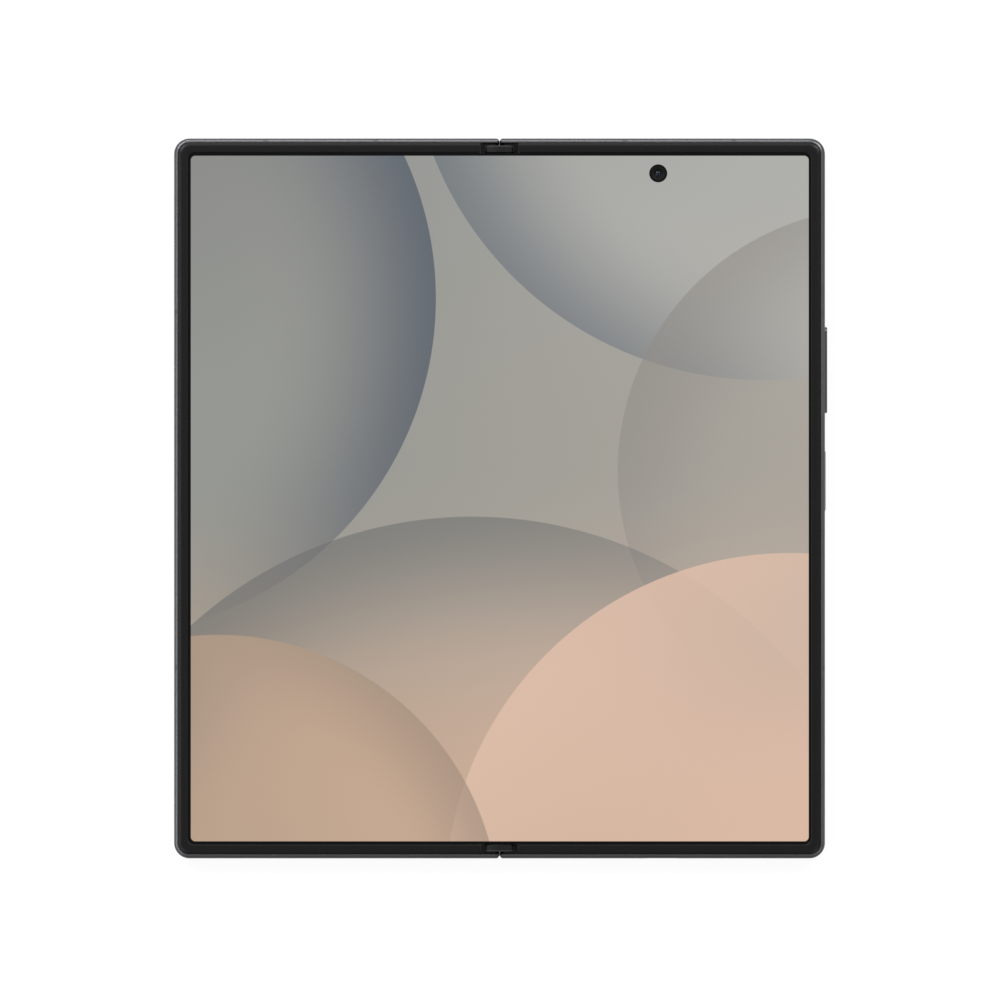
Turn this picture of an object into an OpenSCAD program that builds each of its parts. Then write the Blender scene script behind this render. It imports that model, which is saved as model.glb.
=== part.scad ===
/* [Body] */
// Width of the open phone, without the keys
open_w = 143.2; // [119.2:0.2:172]
// Height of the phone
body_h = 158.4; // [132:0.2:190.2]
// Thickness of one half
half_t = 4.2; // [4.0:0.1:5.2]
// Corner radius of the outline
corner_r = 3.4; // [2.8:0.1:4.2]
// Space between the two frames at the seam, open
seam_gap = 0.2; // [0.14:0.02:0.3]
// Space between the two raised bezels, folded
fold_gap = 0.5; // [0.4:0.1:0.7]
// Height of the camera rings below the back glass
bump_h = 2.3; // [1.9:0.1:2.8]

/* [Frame] */
// Width of the metal lip round the bezel
lip_w = 0.9; // [0.7:0.05:1.1]
// Rounding of the frame's outer edges
edge_r = 0.85; // [0.4:0.05:0.9]
// Depth of the frame rail, lip and shelf together
rail_w = 2.0; // [1.9:0.05:2.1]
// Thickness of the frame's mid plate
mid_t = 0.6; // [0.5:0.05:0.7]
// Height of the bezel over the metal lip
lip_drop = 0.15; // [0.1:0.05:0.25]
// Width of an antenna break
break_w = 1.0; // [0.6:0.1:1.6]
// Clearance between fixed pieces that fit into each other
fit = 0.05; // [0.03:0.01:0.1]

/* [Display] */
// Thickness of the folding display
disp_t = 0.6; // [0.5:0.05:0.65]
// Depth of the display's face under the bezel's top
face_drop = 0.25; // [0.2:0.05:0.3]
// Distance from the outline to the raised bezel's inner edge
bezel_in = 3.1; // [2.9:0.05:3.6]
// Inner corner radius of the raised bezel
bezel_r = 1.5; // [1:0.1:2]
// Overlap of the zone that bends past the spine's room, to each side
bend_over = 0.2; // [0.1:0.05:0.5]
// Inner camera hole, distance from the middle of its half towards the fold
inner_cam_in = 0.9; // [-4:0.1:4]
// Inner camera hole, distance from the top edge
inner_cam_drop = 7.7; // [7:0.1:9]
// Diameter of the inner camera hole
inner_cam_d = 3.75; // [3:0.05:4.2]

/* [Back] */
// Thickness of the back glass and of the cover glass
glass_t = 0.6; // [0.5:0.02:0.64]
// Thickness of the cover display panel
cover_disp_t = 0.4; // [0.3:0.05:0.5]
// Diameter of a rear lens ring
ring_d = 13.6; // [12:0.1:14.4]
// Distance between rear lenses
lens_pitch = 16.6; // [15:0.1:19.9]
// Rear lenses, distance from the outer edge
lens_edge = 13.1; // [12:0.1:16]
// Topmost rear lens, distance from the top edge
lens_drop = 14.7; // [13:0.1:18]
// Height of the camera island's plate
island_h = 1.0; // [0.7:0.1:1.2]
// Diameter of the flash lens
flash_d = 4.6; // [3.6:0.1:5.4]

/* [Keys and ports] */
// Length of the volume key
volume_l = 19.0; // [16:0.1:23]
// Volume key's centre above the middle
volume_y = 28.25; // [26:0.05:30]
// Volume key's height over the edge
volume_out = 0.51; // [0.2:0.01:0.7]
// Length of the side key
side_l = 13.3; // [11:0.1:16]
// Side key's centre above the middle
side_y = 3.83; // [1:0.01:5]
// Side key's height over the edge
side_out = 0.16; // [0.05:0.01:0.5]
// Height of both keys, across the edge
key_h = 1.9; // [1.5:0.1:2.1]
// Clearance round a key in its slot
key_gap = 0.12; // [0.08:0.01:0.16]
// Width of the charging port's opening in the edge
port_w = 9.0; // [8.6:0.1:9.6]
// Height of the charging port's opening in the edge
port_h = 3.0; // [2.8:0.1:3.2]
// Length of the earpiece slot
ear_l = 13.2; // [9:0.1:15]
// Width of the card tray's face
tray_w = 13.0; // [12.4:0.1:14]
// Length of the card tray
tray_l = 27; // [22:0.5:28]
// Card tray's centre above the bottom edge
tray_up = 24.2; // [22:0.1:26]

/* [Hinge] */
// Depth of the folding axes under the bezel's top
axis_drop = 1.0; // [0.9:0.05:1.1]
// Wall of the spine cover
spine_wall = 0.35; // [0.3:0.05:0.4]
// Space between the spine cover and the back glass
spine_gap = 0.25; // [0.2:0.05:0.3]
// Space between the end of the spine and the frame
spine_end_gap = 0.55; // [0.3:0.05:0.8]
// Hinge modules, distance from the top and bottom edges
hinge_in = 29.2; // [28.6:0.1:35]
// Radial play of the sliding arcs
arc_play = 0.05; // [0.03:0.01:0.08]
// Width of the hinge's end cap
cap_w = 5.7; // [5:0.1:6.2]
// Length of the hinge's end cap
cap_l = 1.55; // [1:0.05:2]
// Teeth on each gear, an even number
teeth = 10; // [8:2:12]

/* [Hidden] */
$fn = 48;
eps = 0.01;

// Colours
metal = "#4a4b4d";
matte_black = "#232425";
glass_black = "#15171a";
screen = "#8f9190";
board_green = "#1f4a34";
steel = "#a9acb0";

// Outline
half_w = open_w / 2;
half_h = body_h / 2;
seam_x = seam_gap / 2;

// Levels, from the back of the body up
disp_top = half_t - face_drop;
disp_bot = disp_top - disp_t;
mid_bot = disp_bot - mid_t;
lip_z = half_t - lip_drop;
shelf_z = half_t - 0.6;
edge_mid_z = lip_z / 2 + 0.05;
board_bot = glass_t + 0.85;
board_t = 0.5;
board_top = board_bot + board_t;

// Folding axes and the spine's section
axis_z = half_t - axis_drop;
axis_x = axis_drop + fold_gap / 2;
spine_r = axis_z - glass_t - spine_gap;
bore_r = spine_r - spine_wall;
end_wall = 1.0;
spine_l = 2 * (half_h - end_wall - spine_end_gap);
rim_z = axis_z - 0.45;
well_x = axis_x + spine_r + 0.5;
bend_x = well_x + bend_over;
rib_x = well_x + 0.1;
rib_w = 0.8;
seam_rail = 0.9;
seam_round = 0.7;

// Hinge modules: arcs, gears and pads along the spine
hinge_y = half_h - hinge_in;
block_l = 22;
block_top = axis_z - 0.2;
arc_out = bore_r - 0.4;
arc_in = arc_out - 0.4;
arc_from = 5.6;
arc_to = 9.2;
arm_z = mid_bot;
arm_t = axis_z - mid_bot;
pad_from = 2.4;
pad_to = 9.4;
pad_x = 9.0;
gear_r = bore_r * 0.3;
gear_z = axis_z - bore_r * 0.425;
notch_z = gear_z - 0.05;
gear_tip = 0.07;
gear_root = 0.1;
gear_l = 3;
gear_cheek = 5;
pin_r = 0.22;
pin_play = 0.03;
arm_end = 6.2;
arm_w = 2.4;
bar_t = 0.4;
spring_r = 0.5;
spring_bore = 0.31;
flex_w = 7;
flex_t = 0.12;
flex_z = block_top + 0.1;
flex_low = board_top + 0.4;
flex_at = [hinge_y - 16, hinge_y + 15.5];
flex_end = 13;

// Screws
screw_r = 0.5;
head_r = 0.95;
head_t = 0.25;
screw_play = 0.03;
pad_screws = [4.2, 7.6];
pad_screw_x = pad_x - 2.4;
boss_r = 1.5;

// Cameras along the outer edge
lens_x = half_w - lens_edge;
lens_ys = [for (i = [0:2]) half_h - lens_drop - i * lens_pitch];
lens_glass_d = ring_d - 3.2;
barrel_d = 7.2;
barrel_bore = 4.6;
barrel_play = 0.05;
focus_travel = 0.25;
island_r = ring_d / 2 + 1.9;
flash_x = lens_x - ring_d / 2 - 6;

// Inside layout
inner_cam_x = half_w / 2 - inner_cam_in;
inner_y = half_h - inner_cam_drop;
inner_cam_half = 3.6;
inside_x = 9.8;
wall_in = half_w - rail_w;
wall_top = half_h - rail_w;
module_half = 5.6;
board_y = hinge_y - 20;
board_out = lens_x - 7.9;
left_out = half_w - 21;
board_screws_right = [
  [16, half_h - 6.2], [board_out - 3.6, half_h - 6.2], [board_out - 3.6, board_y + 4], [22, board_y + 4]
];
board_screws_left = [[left_out - 3.6, board_y + 4], [left_out - 3.6, board_y + 34], [28, board_y + 4]];
battery_y0 = 33.2 - half_h;
battery_right_y1 = min(lens_ys[2] - module_half - 0.8, board_y - 2);
battery_left_y1 = board_y - 2;
coil_t = 0.25;
coil_r = 22;
coil_in = 11;
port_x = half_w / 2;
port_z = (glass_t + disp_bot) / 2;
port_l = 7.1;
port_wall = 0.12;
tongue = [6.7, 0.7];
ear_x = 18.3;
cover_cam_x = half_w / 2 + 1.2;
cover_cam_y = half_h - 8.2;
cover_cam_half = 3.3;
cover_cam_d = 3.5;
switch_x = wall_in - 0.7;
dome_r = 0.6;
dome_off = 6;
magnet_ys = [53.2 - half_h, 39.2 - half_h];
magnet = [1.6, 10];
mic_x = 22;
mic = [3.2, 2.8, 0.7];
mic_hole_d = 0.9;
speaker_x = half_w - 13.1;
speaker_pitch = 2.2;
speaker_hole_d = 1.3;
haptic = [12, 8.4];
haptic_at = [half_w - 19.6, 22.2 - half_h];
haptic_wall = 0.3;
mass_travel = 0.3;
flange_u = 1.45;
flange_t = 0.4;

// Antenna breaks, measured from the middle of the phone
breaks_right_top = [27.5, 51.5];
breaks_right_bottom = [20.8, 50.7];
breaks_left_top = [27.3, 51.5];
breaks_left_bottom = [20.7, 50.6];
breaks_side = [volume_y + volume_l / 2 + 3.25, 42 - half_h];

// Lifts the phone onto its camera rings
module lift() {
  translate([0, 0, bump_h]) children();
}

// The other half is a mirror image
module other_side() {
  mirror([1, 0, 0]) children();
}

// Turns a drawing in X and Z into a bar along Y
module bar_y(from, to) {
  translate([0, to, 0]) rotate([90, 0, 0]) linear_extrude(to - from) children();
}

// Turns a drawing in Y and Z into a bar along X
module bar_x(from, to) {
  translate([from, 0, 0]) rotate([90, 0, 90]) linear_extrude(to - from) children();
}

module block(from, to) {
  translate(from) cube(to - from);
}

module slot_2d(length, height) {
  straight = length - height;
  translate([-straight / 2, -height / 2]) square([straight, height]);
  for (side = [-1, 1]) translate([side * straight / 2, 0]) circle(d = height);
}

// Outline of the right half from x0 outward, set in from the edge
module half_2d(inset, r, x0) {
  x1 = half_w - inset;
  y1 = half_h - inset;
  translate([x0, -y1]) square([x1 - r - x0, 2 * y1]);
  translate([x0, r - y1]) square([x1 - x0, 2 * (y1 - r)]);
  for (side = [-1, 1]) translate([x1 - r, side * (y1 - r)]) circle(r);
}

// Section of the frame's metal lip, outer face at 0, inward to the right
module lip_2d() {
  intersection() {
    union() {
      translate([0, edge_r]) square([2 * edge_r, lip_z - 2 * edge_r]);
      for (z = [edge_r, lip_z - edge_r]) translate([edge_r, z]) circle(edge_r);
      translate([edge_r, 0]) square([2, lip_z]);
    }
    square([lip_w, lip_z]);
  }
}

module shelf_2d() {
  translate([lip_w - eps, glass_t]) square([rail_w - lip_w + eps, shelf_z - glass_t]);
}

// A straight rail whose outer face is at x = d
module rail(d, from, to) {
  translate([d, 0, 0]) bar_y(from, to) mirror([1, 0]) children();
}

module rail_corner() {
  rotate_extrude(angle = 90) translate([corner_r, 0]) mirror([1, 0]) children();
}

// The three walls of the right half with their two round corners
module rail_loop() {
  cx = half_w - corner_r;
  cy = half_h - corner_r;
  rail(half_w, -cy, cy) children();
  rotate([0, 0, 90]) rail(half_h, -cx, -seam_x) children();
  rotate([0, 0, -90]) rail(half_h, seam_x, cx) children();
  translate([cx, cy, 0]) rail_corner() children();
  translate([cx, -cy, 0]) rotate([0, 0, -90]) rail_corner() children();
}

// What is cut away at the seam so that the halves pass each other while they fold
module seam_cut() {
  difference() {
    block([-1, -half_h - 1, axis_z], [axis_x, half_h + 1, half_t + 1]);
    bar_y(-half_h - 2, half_h + 2) translate([axis_x, axis_z]) circle(axis_x - seam_x);
  }
  for (side = [-1, 1]) scale([1, side, 1]) difference() {
    block([seam_x - eps, half_h - seam_round, -1], [seam_x + seam_round, half_h + 1, half_t + 1]);
    translate([seam_x + seam_round, half_h - seam_round, -2]) cylinder(r = seam_round, h = half_t + 4);
  }
}

// Boxes at the antenna breaks, through the lip only
module break_boxes(top, bottom) {
  for (x = top) block([x - break_w / 2, half_h - lip_w, -1], [x + break_w / 2, half_h + 1, half_t]);
  for (x = bottom) block([x - break_w / 2, -half_h - 1, -1], [x + break_w / 2, lip_w - half_h, half_t]);
  for (y = breaks_side) {
    block([half_w - lip_w, y - break_w / 2, -1], [half_w + 1, y + break_w / 2, half_t]);
  }
}

module antenna_bands(top, bottom) {
  intersection() {
    rail_loop() lip_2d();
    break_boxes(top, bottom);
  }
}

// Seats for one half's two hinge brackets, between y = from and to in each module
module bracket_bosses(from, to) {
  for (side = [-1, 1]) {
    y = side * hinge_y;
    block([rib_x, y + from - 0.4, glass_t], [pad_x + 0.4, y + to + 0.4, mid_bot]);
  }
}

module bracket_room(from, to) {
  for (side = [-1, 1]) {
    y = side * hinge_y;
    block([rib_x - 1, y + from - 0.2, mid_bot], [pad_x + 0.2, y + to + 0.2, half_t]);
    // Pocket that the synchronising arm slides in
    block([rib_x - 1, y - arm_w / 2 - 0.3, gear_z - 0.25], [arm_end + 0.5, y + arm_w / 2 + 0.3, half_t]);
    for (s = pad_screws) {
      sy = from < 0 ? y - s : y + s;
      translate([pad_screw_x, sy, glass_t + 0.4]) cylinder(r = screw_r + screw_play, h = half_t);
    }
  }
}

module board_bosses(places) {
  for (p = places) translate([p[0], p[1], board_top]) cylinder(r = boss_r, h = mid_bot - board_top + eps);
}

module board_screw_holes(places) {
  for (p = places) translate([p[0], p[1], board_top - 1]) {
    cylinder(r = screw_r + screw_play, h = mid_bot - board_top + 1.4);
  }
}

// A frame before the openings of its own side
module bare_frame(from, to, screws, top, bottom) {
  difference() {
    union() {
      rail_loop() {
        union() {
          lip_2d();
          shelf_2d();
        }
      }
      block([seam_x, -half_h + lip_w / 2, 0], [seam_x + seam_rail, half_h - lip_w / 2, glass_t]);
      translate([0, 0, mid_bot]) linear_extrude(mid_t) half_2d(rail_w - 0.1, corner_r - rail_w + 0.1, rib_x);
      block([rib_x, -wall_top, glass_t], [rib_x + rib_w, wall_top, mid_bot + eps]);
      bracket_bosses(from, to);
      board_bosses(screws);
    }
    seam_cut();
    block([-1, -half_h + end_wall, glass_t], [well_x, half_h - end_wall, half_t + 1]);
    break_boxes(top, bottom);
    bracket_room(from, to);
    board_screw_holes(screws);
    for (y = flex_at) {
      block([rib_x - 1, y - flex_w / 2 - 0.4, flex_low - 0.1], [7.8, y + flex_w / 2 + 0.4, half_t]);
    }
  }
}

module key_slot(length, y) {
  translate([0, y, edge_mid_z]) {
    bar_x(half_w - rail_w - 1, half_w + 1) slot_2d(length + 2 * key_gap, key_h + 2 * key_gap);
    bar_x(half_w - rail_w - 1, half_w - flange_u + 0.3) slot_2d(length + 1.6, key_h + 0.9);
  }
}

module speaker_holes() {
  for (i = [-2:2]) translate([speaker_x + i * speaker_pitch, -half_h - 1, edge_mid_z]) rotate([-90, 0, 0]) {
    cylinder(d = speaker_hole_d, h = rail_w + 2);
  }
}

// Structure of the main half
module frame_right() {
  color(metal) lift() difference() {
    bare_frame(pad_from, pad_to, board_screws_right, breaks_right_top, breaks_right_bottom);
    key_slot(volume_l, volume_y);
    key_slot(side_l, side_y);
    translate([port_x, 0, port_z]) bar_y(-half_h - 1, -half_h + rail_w + 1) slot_2d(port_w, port_h);
    block([port_x - port_w / 2 - 0.1, -wall_top - 1, mid_bot - 1],
          [port_x + port_w / 2 + 0.1, -half_h + port_l + 1.2, half_t]);
    speaker_holes();
    for (side = [-1, 1]) translate([mic_x, side * (half_h + 1), edge_mid_z]) rotate([side * 90, 0, 0]) {
      cylinder(d = mic_hole_d, h = rail_w + 2);
    }
    translate([inner_cam_x, inner_y, 0]) cylinder(d = inner_cam_d + 0.6, h = half_t);
  }
}

module antenna_bands_right() {
  color("#3a3b3c") lift() antenna_bands(breaks_right_top, breaks_right_bottom);
}

module back_plate() {
  inset = lip_w + fit;
  linear_extrude(glass_t) half_2d(inset, corner_r - inset, seam_x + seam_rail + fit);
}

module back_glass() {
  color("#2c2d30") lift() difference() {
    back_plate();
    for (y = lens_ys) translate([lens_x, y, -1]) cylinder(d = lens_glass_d + 0.2, h = glass_t + 2);
    translate([flash_x, lens_ys[0], -1]) cylinder(d = flash_d + 2 * fit, h = glass_t + 2);
  }
}

// Plate that joins the three rear lenses
module camera_island() {
  color("#35363a") lift() translate([0, 0, -island_h]) difference() {
    linear_extrude(island_h) {
      for (y = [lens_ys[0], lens_ys[2]]) translate([lens_x, y]) circle(island_r);
      translate([lens_x - island_r, lens_ys[2]]) square([2 * island_r, lens_ys[0] - lens_ys[2]]);
    }
    for (y = lens_ys) translate([lens_x, y, -1]) cylinder(d = lens_glass_d + 0.2, h = island_h + 2);
  }
}

module camera_rings() {
  ledge = (bump_h - island_h) * 0.35;
  color("#5a5b5f") lift() for (y = lens_ys) translate([lens_x, y, 0]) difference() {
    translate([0, 0, -bump_h]) cylinder(d = ring_d, h = bump_h - island_h);
    translate([0, 0, -bump_h - 1]) cylinder(d = lens_glass_d + 2 * fit, h = bump_h - island_h - ledge + 1);
    translate([0, 0, -bump_h - 1]) cylinder(d = lens_glass_d - 0.8, h = bump_h + 1);
  }
}

module camera_lens_glass() {
  ledge = (bump_h - island_h) * 0.35;
  color("#0c0f14") lift() for (y = lens_ys) {
    translate([lens_x, y, -island_h - ledge - 0.5]) cylinder(d = lens_glass_d, h = 0.5);
  }
}

// Housings of the three rear cameras, each bored for its lens barrel
module camera_modules() {
  color(matte_black) lift() for (y = lens_ys) translate([lens_x, y, 0]) difference() {
    union() {
      block([-module_half, -module_half, glass_t + fit], [module_half, module_half, mid_bot]);
      translate([0, 0, -island_h]) cylinder(d = lens_glass_d, h = island_h + glass_t + 0.1);
    }
    translate([0, 0, -island_h - 1]) {
      cylinder(d = barrel_d + 2 * barrel_play, h = island_h + mid_bot + 0.5);
    }
  }
}

module lens_barrel(y) {
  color("#1b1d22") lift() translate([lens_x, y, -island_h + 0.1]) difference() {
    cylinder(d = barrel_d, h = island_h + mid_bot - 0.6 - focus_travel - barrel_play);
    translate([0, 0, -1]) cylinder(d = barrel_bore, h = 1.5);
  }
}

module lens_barrel_wide() {
  lens_barrel(lens_ys[0]);
}

module lens_barrel_main() {
  lens_barrel(lens_ys[1]);
}

module lens_barrel_tele() {
  lens_barrel(lens_ys[2]);
}

module flash_lens() {
  color("#e8e2c8") lift() translate([flash_x, lens_ys[0], 0]) cylinder(d = flash_d, h = glass_t);
}

// Main board, cut out round the inner camera
module main_board() {
  color(board_green) lift() {
    difference() {
      block([inside_x, board_y, board_bot], [board_out, wall_top - 0.3, board_top]);
      block([inner_cam_x - inner_cam_half - 0.4, inner_y - inner_cam_half - 0.4, 0],
            [inner_cam_x + inner_cam_half + 0.4, half_h, half_t]);
      for (p = board_screws_right) translate([p[0], p[1], 0]) cylinder(r = screw_r + screw_play, h = half_t);
    }
    for (y = flex_at) {
      block([10.2, y - flex_w / 2, board_top - eps], [flex_end, y + flex_w / 2, flex_low - flex_t / 2]);
    }
  }
}

// Shield can between two places along X and two levels, from y upwards
module can(xs, y, length, levels) {
  block([xs[0], y, levels[0]], [xs[1], y + length, levels[1]]);
}

module board_shields() {
  color(steel) lift() {
    can([15, board_out - 18.6], board_y + 8, 23, [board_top, mid_bot - 0.1]);
    can([18, board_out - 6.6], board_y + 8, 22, [glass_t + 0.1, board_bot]);
    can([board_out - 16.6, board_out - 2], board_y + 10, 22, [board_top, mid_bot - 0.1]);
  }
}

module battery_right() {
  color("#303236") lift() {
    block([10.2, battery_y0, glass_t + coil_t + fit], [wall_in - 3.4, battery_right_y1, mid_bot]);
  }
}

// Flat ring of wire between the battery and the back glass
module charging_coil() {
  color("#8a5a36") lift() translate([half_w / 2 + 1.5, (battery_y0 + battery_right_y1) / 2, glass_t]) difference() {
    cylinder(r = coil_r, h = coil_t);
    translate([0, 0, -1]) cylinder(r = coil_in, h = coil_t + 2);
  }
}

// Metal shell with its contact tongue
module usb_c_port() {
  outer_h = min(disp_bot - glass_t, port_h - 0.25);
  front = -half_h + 0.6;
  color(steel) lift() translate([port_x, 0, port_z]) {
    difference() {
      bar_y(front, front + port_l) slot_2d(port_w - 2 * fit - 0.1, outer_h);
      bar_y(front - 1, front + port_l - 0.5) {
        slot_2d(port_w - 2 * fit - 0.1 - 2 * port_wall, outer_h - 2 * port_wall);
      }
    }
    bar_y(front + 0.6, front + port_l - 0.4) square([tongue[0], tongue[1]], center = true);
  }
}

module lower_board() {
  color(board_green) lift() difference() {
    block([inside_x, -wall_top + 0.3, board_bot], [half_w - 23.6, battery_y0 - 9, board_top]);
    block([port_x - port_w / 2, -half_h, 0], [port_x + port_w / 2, -half_h + port_l + 0.7, half_t]);
  }
}

module loudspeaker() {
  color("#2a2b2e") lift() {
    block([half_w - 21.6, -wall_top + 0.1, glass_t + 0.1], [wall_in - 2.6, -wall_top + 18.6, mid_bot]);
  }
}

module haptic_motor() {
  size = [haptic[0], haptic[1], mid_bot - glass_t - 0.1];
  color(steel) lift() translate([haptic_at[0], haptic_at[1], glass_t + 0.1]) difference() {
    cube(size);
    translate([1, 1, 1] * haptic_wall) cube(size - [2, 2, 2] * haptic_wall);
  }
}

// Weight that swings along X inside the haptic motor
module haptic_mass() {
  side_room = mass_travel + 0.1;
  inner = [haptic[0], haptic[1], mid_bot - glass_t - 0.1] - [2, 2, 2] * haptic_wall;
  at = [haptic_at[0], haptic_at[1], glass_t + 0.1] + [1, 1, 1] * haptic_wall;
  color("#777a7d") lift() translate(at + [side_room, 0.06, 0.06]) {
    cube(inner - [2 * side_room, 0.12, 0.12]);
  }
}

module microphones() {
  color(steel) lift() for (side = [-1, 1]) {
    y = side * (wall_top - 2);
    block([mic_x - mic[0] / 2, y - mic[1] / 2, board_top], [mic_x + mic[0] / 2, y + mic[1] / 2, board_top + mic[2]]);
  }
}

module inner_camera() {
  color(glass_black) lift() translate([inner_cam_x, inner_y, 0]) {
    block([-inner_cam_half, -inner_cam_half, glass_t + 0.2], [inner_cam_half, inner_cam_half, mid_bot]);
    translate([0, 0, mid_bot - eps]) cylinder(d = inner_cam_d - 0.2, h = disp_top - mid_bot - 0.1);
  }
}

// Strip with the dome switches that the keys press
module key_switches() {
  color("#b98a3c") lift() {
    y0 = side_y - side_l / 2;
    y1 = volume_y + volume_l / 2;
    block([switch_x - 0.4, y0, edge_mid_z - dome_r], [switch_x - 0.1, y1, mid_bot - 0.075]);
    for (y = [side_y, volume_y - dome_off, volume_y + dome_off]) translate([0, y, edge_mid_z]) {
      bar_x(switch_x - 0.1 - eps, switch_x + 0.3) circle(dome_r);
    }
  }
}

module key_body(length, out, presses) {
  bar_x(half_w - flange_u - eps, half_w + out) slot_2d(length, key_h);
  bar_x(half_w - flange_u - flange_t, half_w - flange_u) slot_2d(length + 1.1, key_h + 0.5);
  for (y = presses) translate([0, y, 0]) {
    bar_x(switch_x + 0.55, half_w - flange_u - flange_t + eps) circle(dome_r);
  }
}

module volume_key() {
  color(metal) lift() translate([0, volume_y, edge_mid_z]) key_body(volume_l, volume_out, [-dome_off, dome_off]);
}

module side_key() {
  color(metal) lift() translate([0, side_y, edge_mid_z]) key_body(side_l, side_out, [0]);
}

// Rigid part of the folding display
module rigid_display() {
  inset = rail_w + 0.2;
  translate([0, 0, disp_bot]) linear_extrude(disp_t) half_2d(inset, corner_r - inset, bend_x);
}

module display_right() {
  color(screen) lift() difference() {
    rigid_display();
    translate([inner_cam_x, inner_y, 0]) cylinder(d = inner_cam_d, h = half_t);
  }
}

// Raised frame round the display, with a foot on the metal shelf
module bezel() {
  inset = lip_w + fit;
  base = disp_top + 0.02;
  foot = rail_w + 0.15;
  difference() {
    translate([0, 0, shelf_z]) linear_extrude(half_t - shelf_z) half_2d(inset, corner_r - inset, well_x);
    translate([0, 0, base]) linear_extrude(1) half_2d(bezel_in, bezel_r, 0);
    translate([0, 0, shelf_z - 1]) linear_extrude(base - shelf_z + 1) half_2d(foot, corner_r - foot, 0);
  }
}

module bezel_right() {
  color(matte_black) lift() bezel();
}

module pad_screw(x, y) {
  translate([x, y, glass_t + 0.6]) cylinder(r = screw_r, h = axis_z - head_t - glass_t - 0.6);
  translate([x, y, axis_z - head_t]) cylinder(r = head_r, h = head_t);
}

module board_screw(p) {
  translate([p[0], p[1], board_bot - 0.35]) cylinder(r = head_r, h = 0.35);
  translate([p[0], p[1], board_bot - eps]) cylinder(r = screw_r, h = mid_bot + 0.3 - board_bot);
}

module screws_right() {
  color("#c4c6c9") lift() {
    for (side = [-1, 1]) for (s = pad_screws) pad_screw(pad_screw_x, side * hinge_y + s);
    for (p = board_screws_right) board_screw(p);
  }
}

module magnets() {
  for (y = magnet_ys) {
    block([wall_in - 1.2 - magnet[0], y - magnet[1] / 2, board_bot - 0.25],
          [wall_in - 1.2, y + magnet[1] / 2, mid_bot]);
  }
}

module magnets_right() {
  color("#9fa1a4") lift() magnets();
}

// Arm that turns about the half's folding axis on an arc, and is screwed to its frame
module hinge_bracket(from, to, pad_0, pad_1, screw_side) {
  difference() {
    union() {
      bar_y(from, to) intersection() {
        difference() {
          translate([axis_x, axis_z]) circle(arc_out);
          translate([axis_x, axis_z]) circle(arc_in);
        }
        translate([axis_x - arc_in * 0.82, 0]) square([2 * arc_out, arm_z + eps]);
      }
      difference() {
        block([axis_x + arc_in * 0.8, from, arm_z], [pad_x, to, axis_z]);
        bar_y(from - 1, to + 1) translate([axis_x, axis_z]) circle(arc_in);
      }
      block([rib_x + 0.1, pad_0, arm_z], [pad_x, pad_1, axis_z]);
    }
    for (s = pad_screws) translate([pad_screw_x, screw_side * s, arm_z - 1]) {
      cylinder(r = screw_r + screw_play, h = 3);
      translate([0, 0, 1 + arm_t - head_t - 0.02]) cylinder(r = head_r + screw_play, h = 3);
    }
  }
}

module hinge_bracket_right() {
  color(steel) lift() for (side = [-1, 1]) translate([0, side * hinge_y, 0]) {
    hinge_bracket(arc_from, arc_to, pad_from, pad_to, 1);
  }
}

// Structure of the cover half
module frame_left() {
  color(metal) lift() other_side() difference() {
    bare_frame(-pad_to, -pad_from, board_screws_left, breaks_left_top, breaks_left_bottom);
    translate([ear_x, 0, edge_mid_z]) bar_y(wall_top - 1, half_h + 1) slot_2d(ear_l, 1);
    translate([0, tray_up - half_h, edge_mid_z]) {
      bar_x(half_w - 1.25, half_w + 1) slot_2d(tray_w + 0.2, key_h + 0.2);
      bar_x(half_w - rail_w - 1, half_w) square([tray_w - 1, 1.1], center = true);
    }
  }
}

module antenna_bands_left() {
  color("#3a3b3c") lift() other_side() antenna_bands(breaks_left_top, breaks_left_bottom);
}

module cover_glass() {
  color(glass_black) lift() other_side() back_plate();
}

module cover_display() {
  inset = rail_w + 0.1;
  color("#0f1012") lift() other_side() translate([0, 0, glass_t]) difference() {
    linear_extrude(cover_disp_t) half_2d(inset, corner_r - inset, rib_x + rib_w + 0.2);
    translate([cover_cam_x, cover_cam_y, -1]) cylinder(d = cover_cam_d + 0.3, h = cover_disp_t + 2);
    bracket_bosses_cut();
  }
}

module bracket_bosses_cut() {
  for (side = [-1, 1]) {
    y = side * hinge_y;
    block([0, y - pad_to - 0.6, -1], [pad_x + 0.6, y - pad_from + 0.6, cover_disp_t + 1]);
  }
}

module cover_camera() {
  top = glass_t + cover_disp_t;
  color(glass_black) lift() other_side() translate([cover_cam_x, cover_cam_y, 0]) {
    block([-cover_cam_half, -cover_cam_half, top + fit], [cover_cam_half, cover_cam_half, mid_bot]);
    translate([0, 0, glass_t + 0.02]) cylinder(d = cover_cam_d, h = cover_disp_t + 0.1);
  }
}

module left_board() {
  color(board_green) lift() other_side() {
    difference() {
      block([inside_x, board_y, board_bot], [left_out, board_y + 39, board_top]);
      block([cover_cam_x - cover_cam_half - 0.5, cover_cam_y - cover_cam_half - 0.5, 0],
            [cover_cam_x + cover_cam_half + 0.5, half_h, half_t]);
      for (p = board_screws_left) translate([p[0], p[1], 0]) cylinder(r = screw_r + screw_play, h = half_t);
    }
    for (y = flex_at) {
      block([10.2, y - flex_w / 2, board_top - eps], [flex_end, y + flex_w / 2, flex_low - flex_t / 2]);
    }
  }
}

module left_shields() {
  color(steel) lift() other_side() {
    can([16, left_out - 6.6], board_y + 8, 22, [board_top, mid_bot - 0.1]);
  }
}

module battery_left() {
  bottom = glass_t + cover_disp_t + fit;
  color("#303236") lift() other_side() {
    block([10.2, battery_y0, bottom], [wall_in - 3.4, battery_left_y1, mid_bot]);
  }
}

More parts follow.
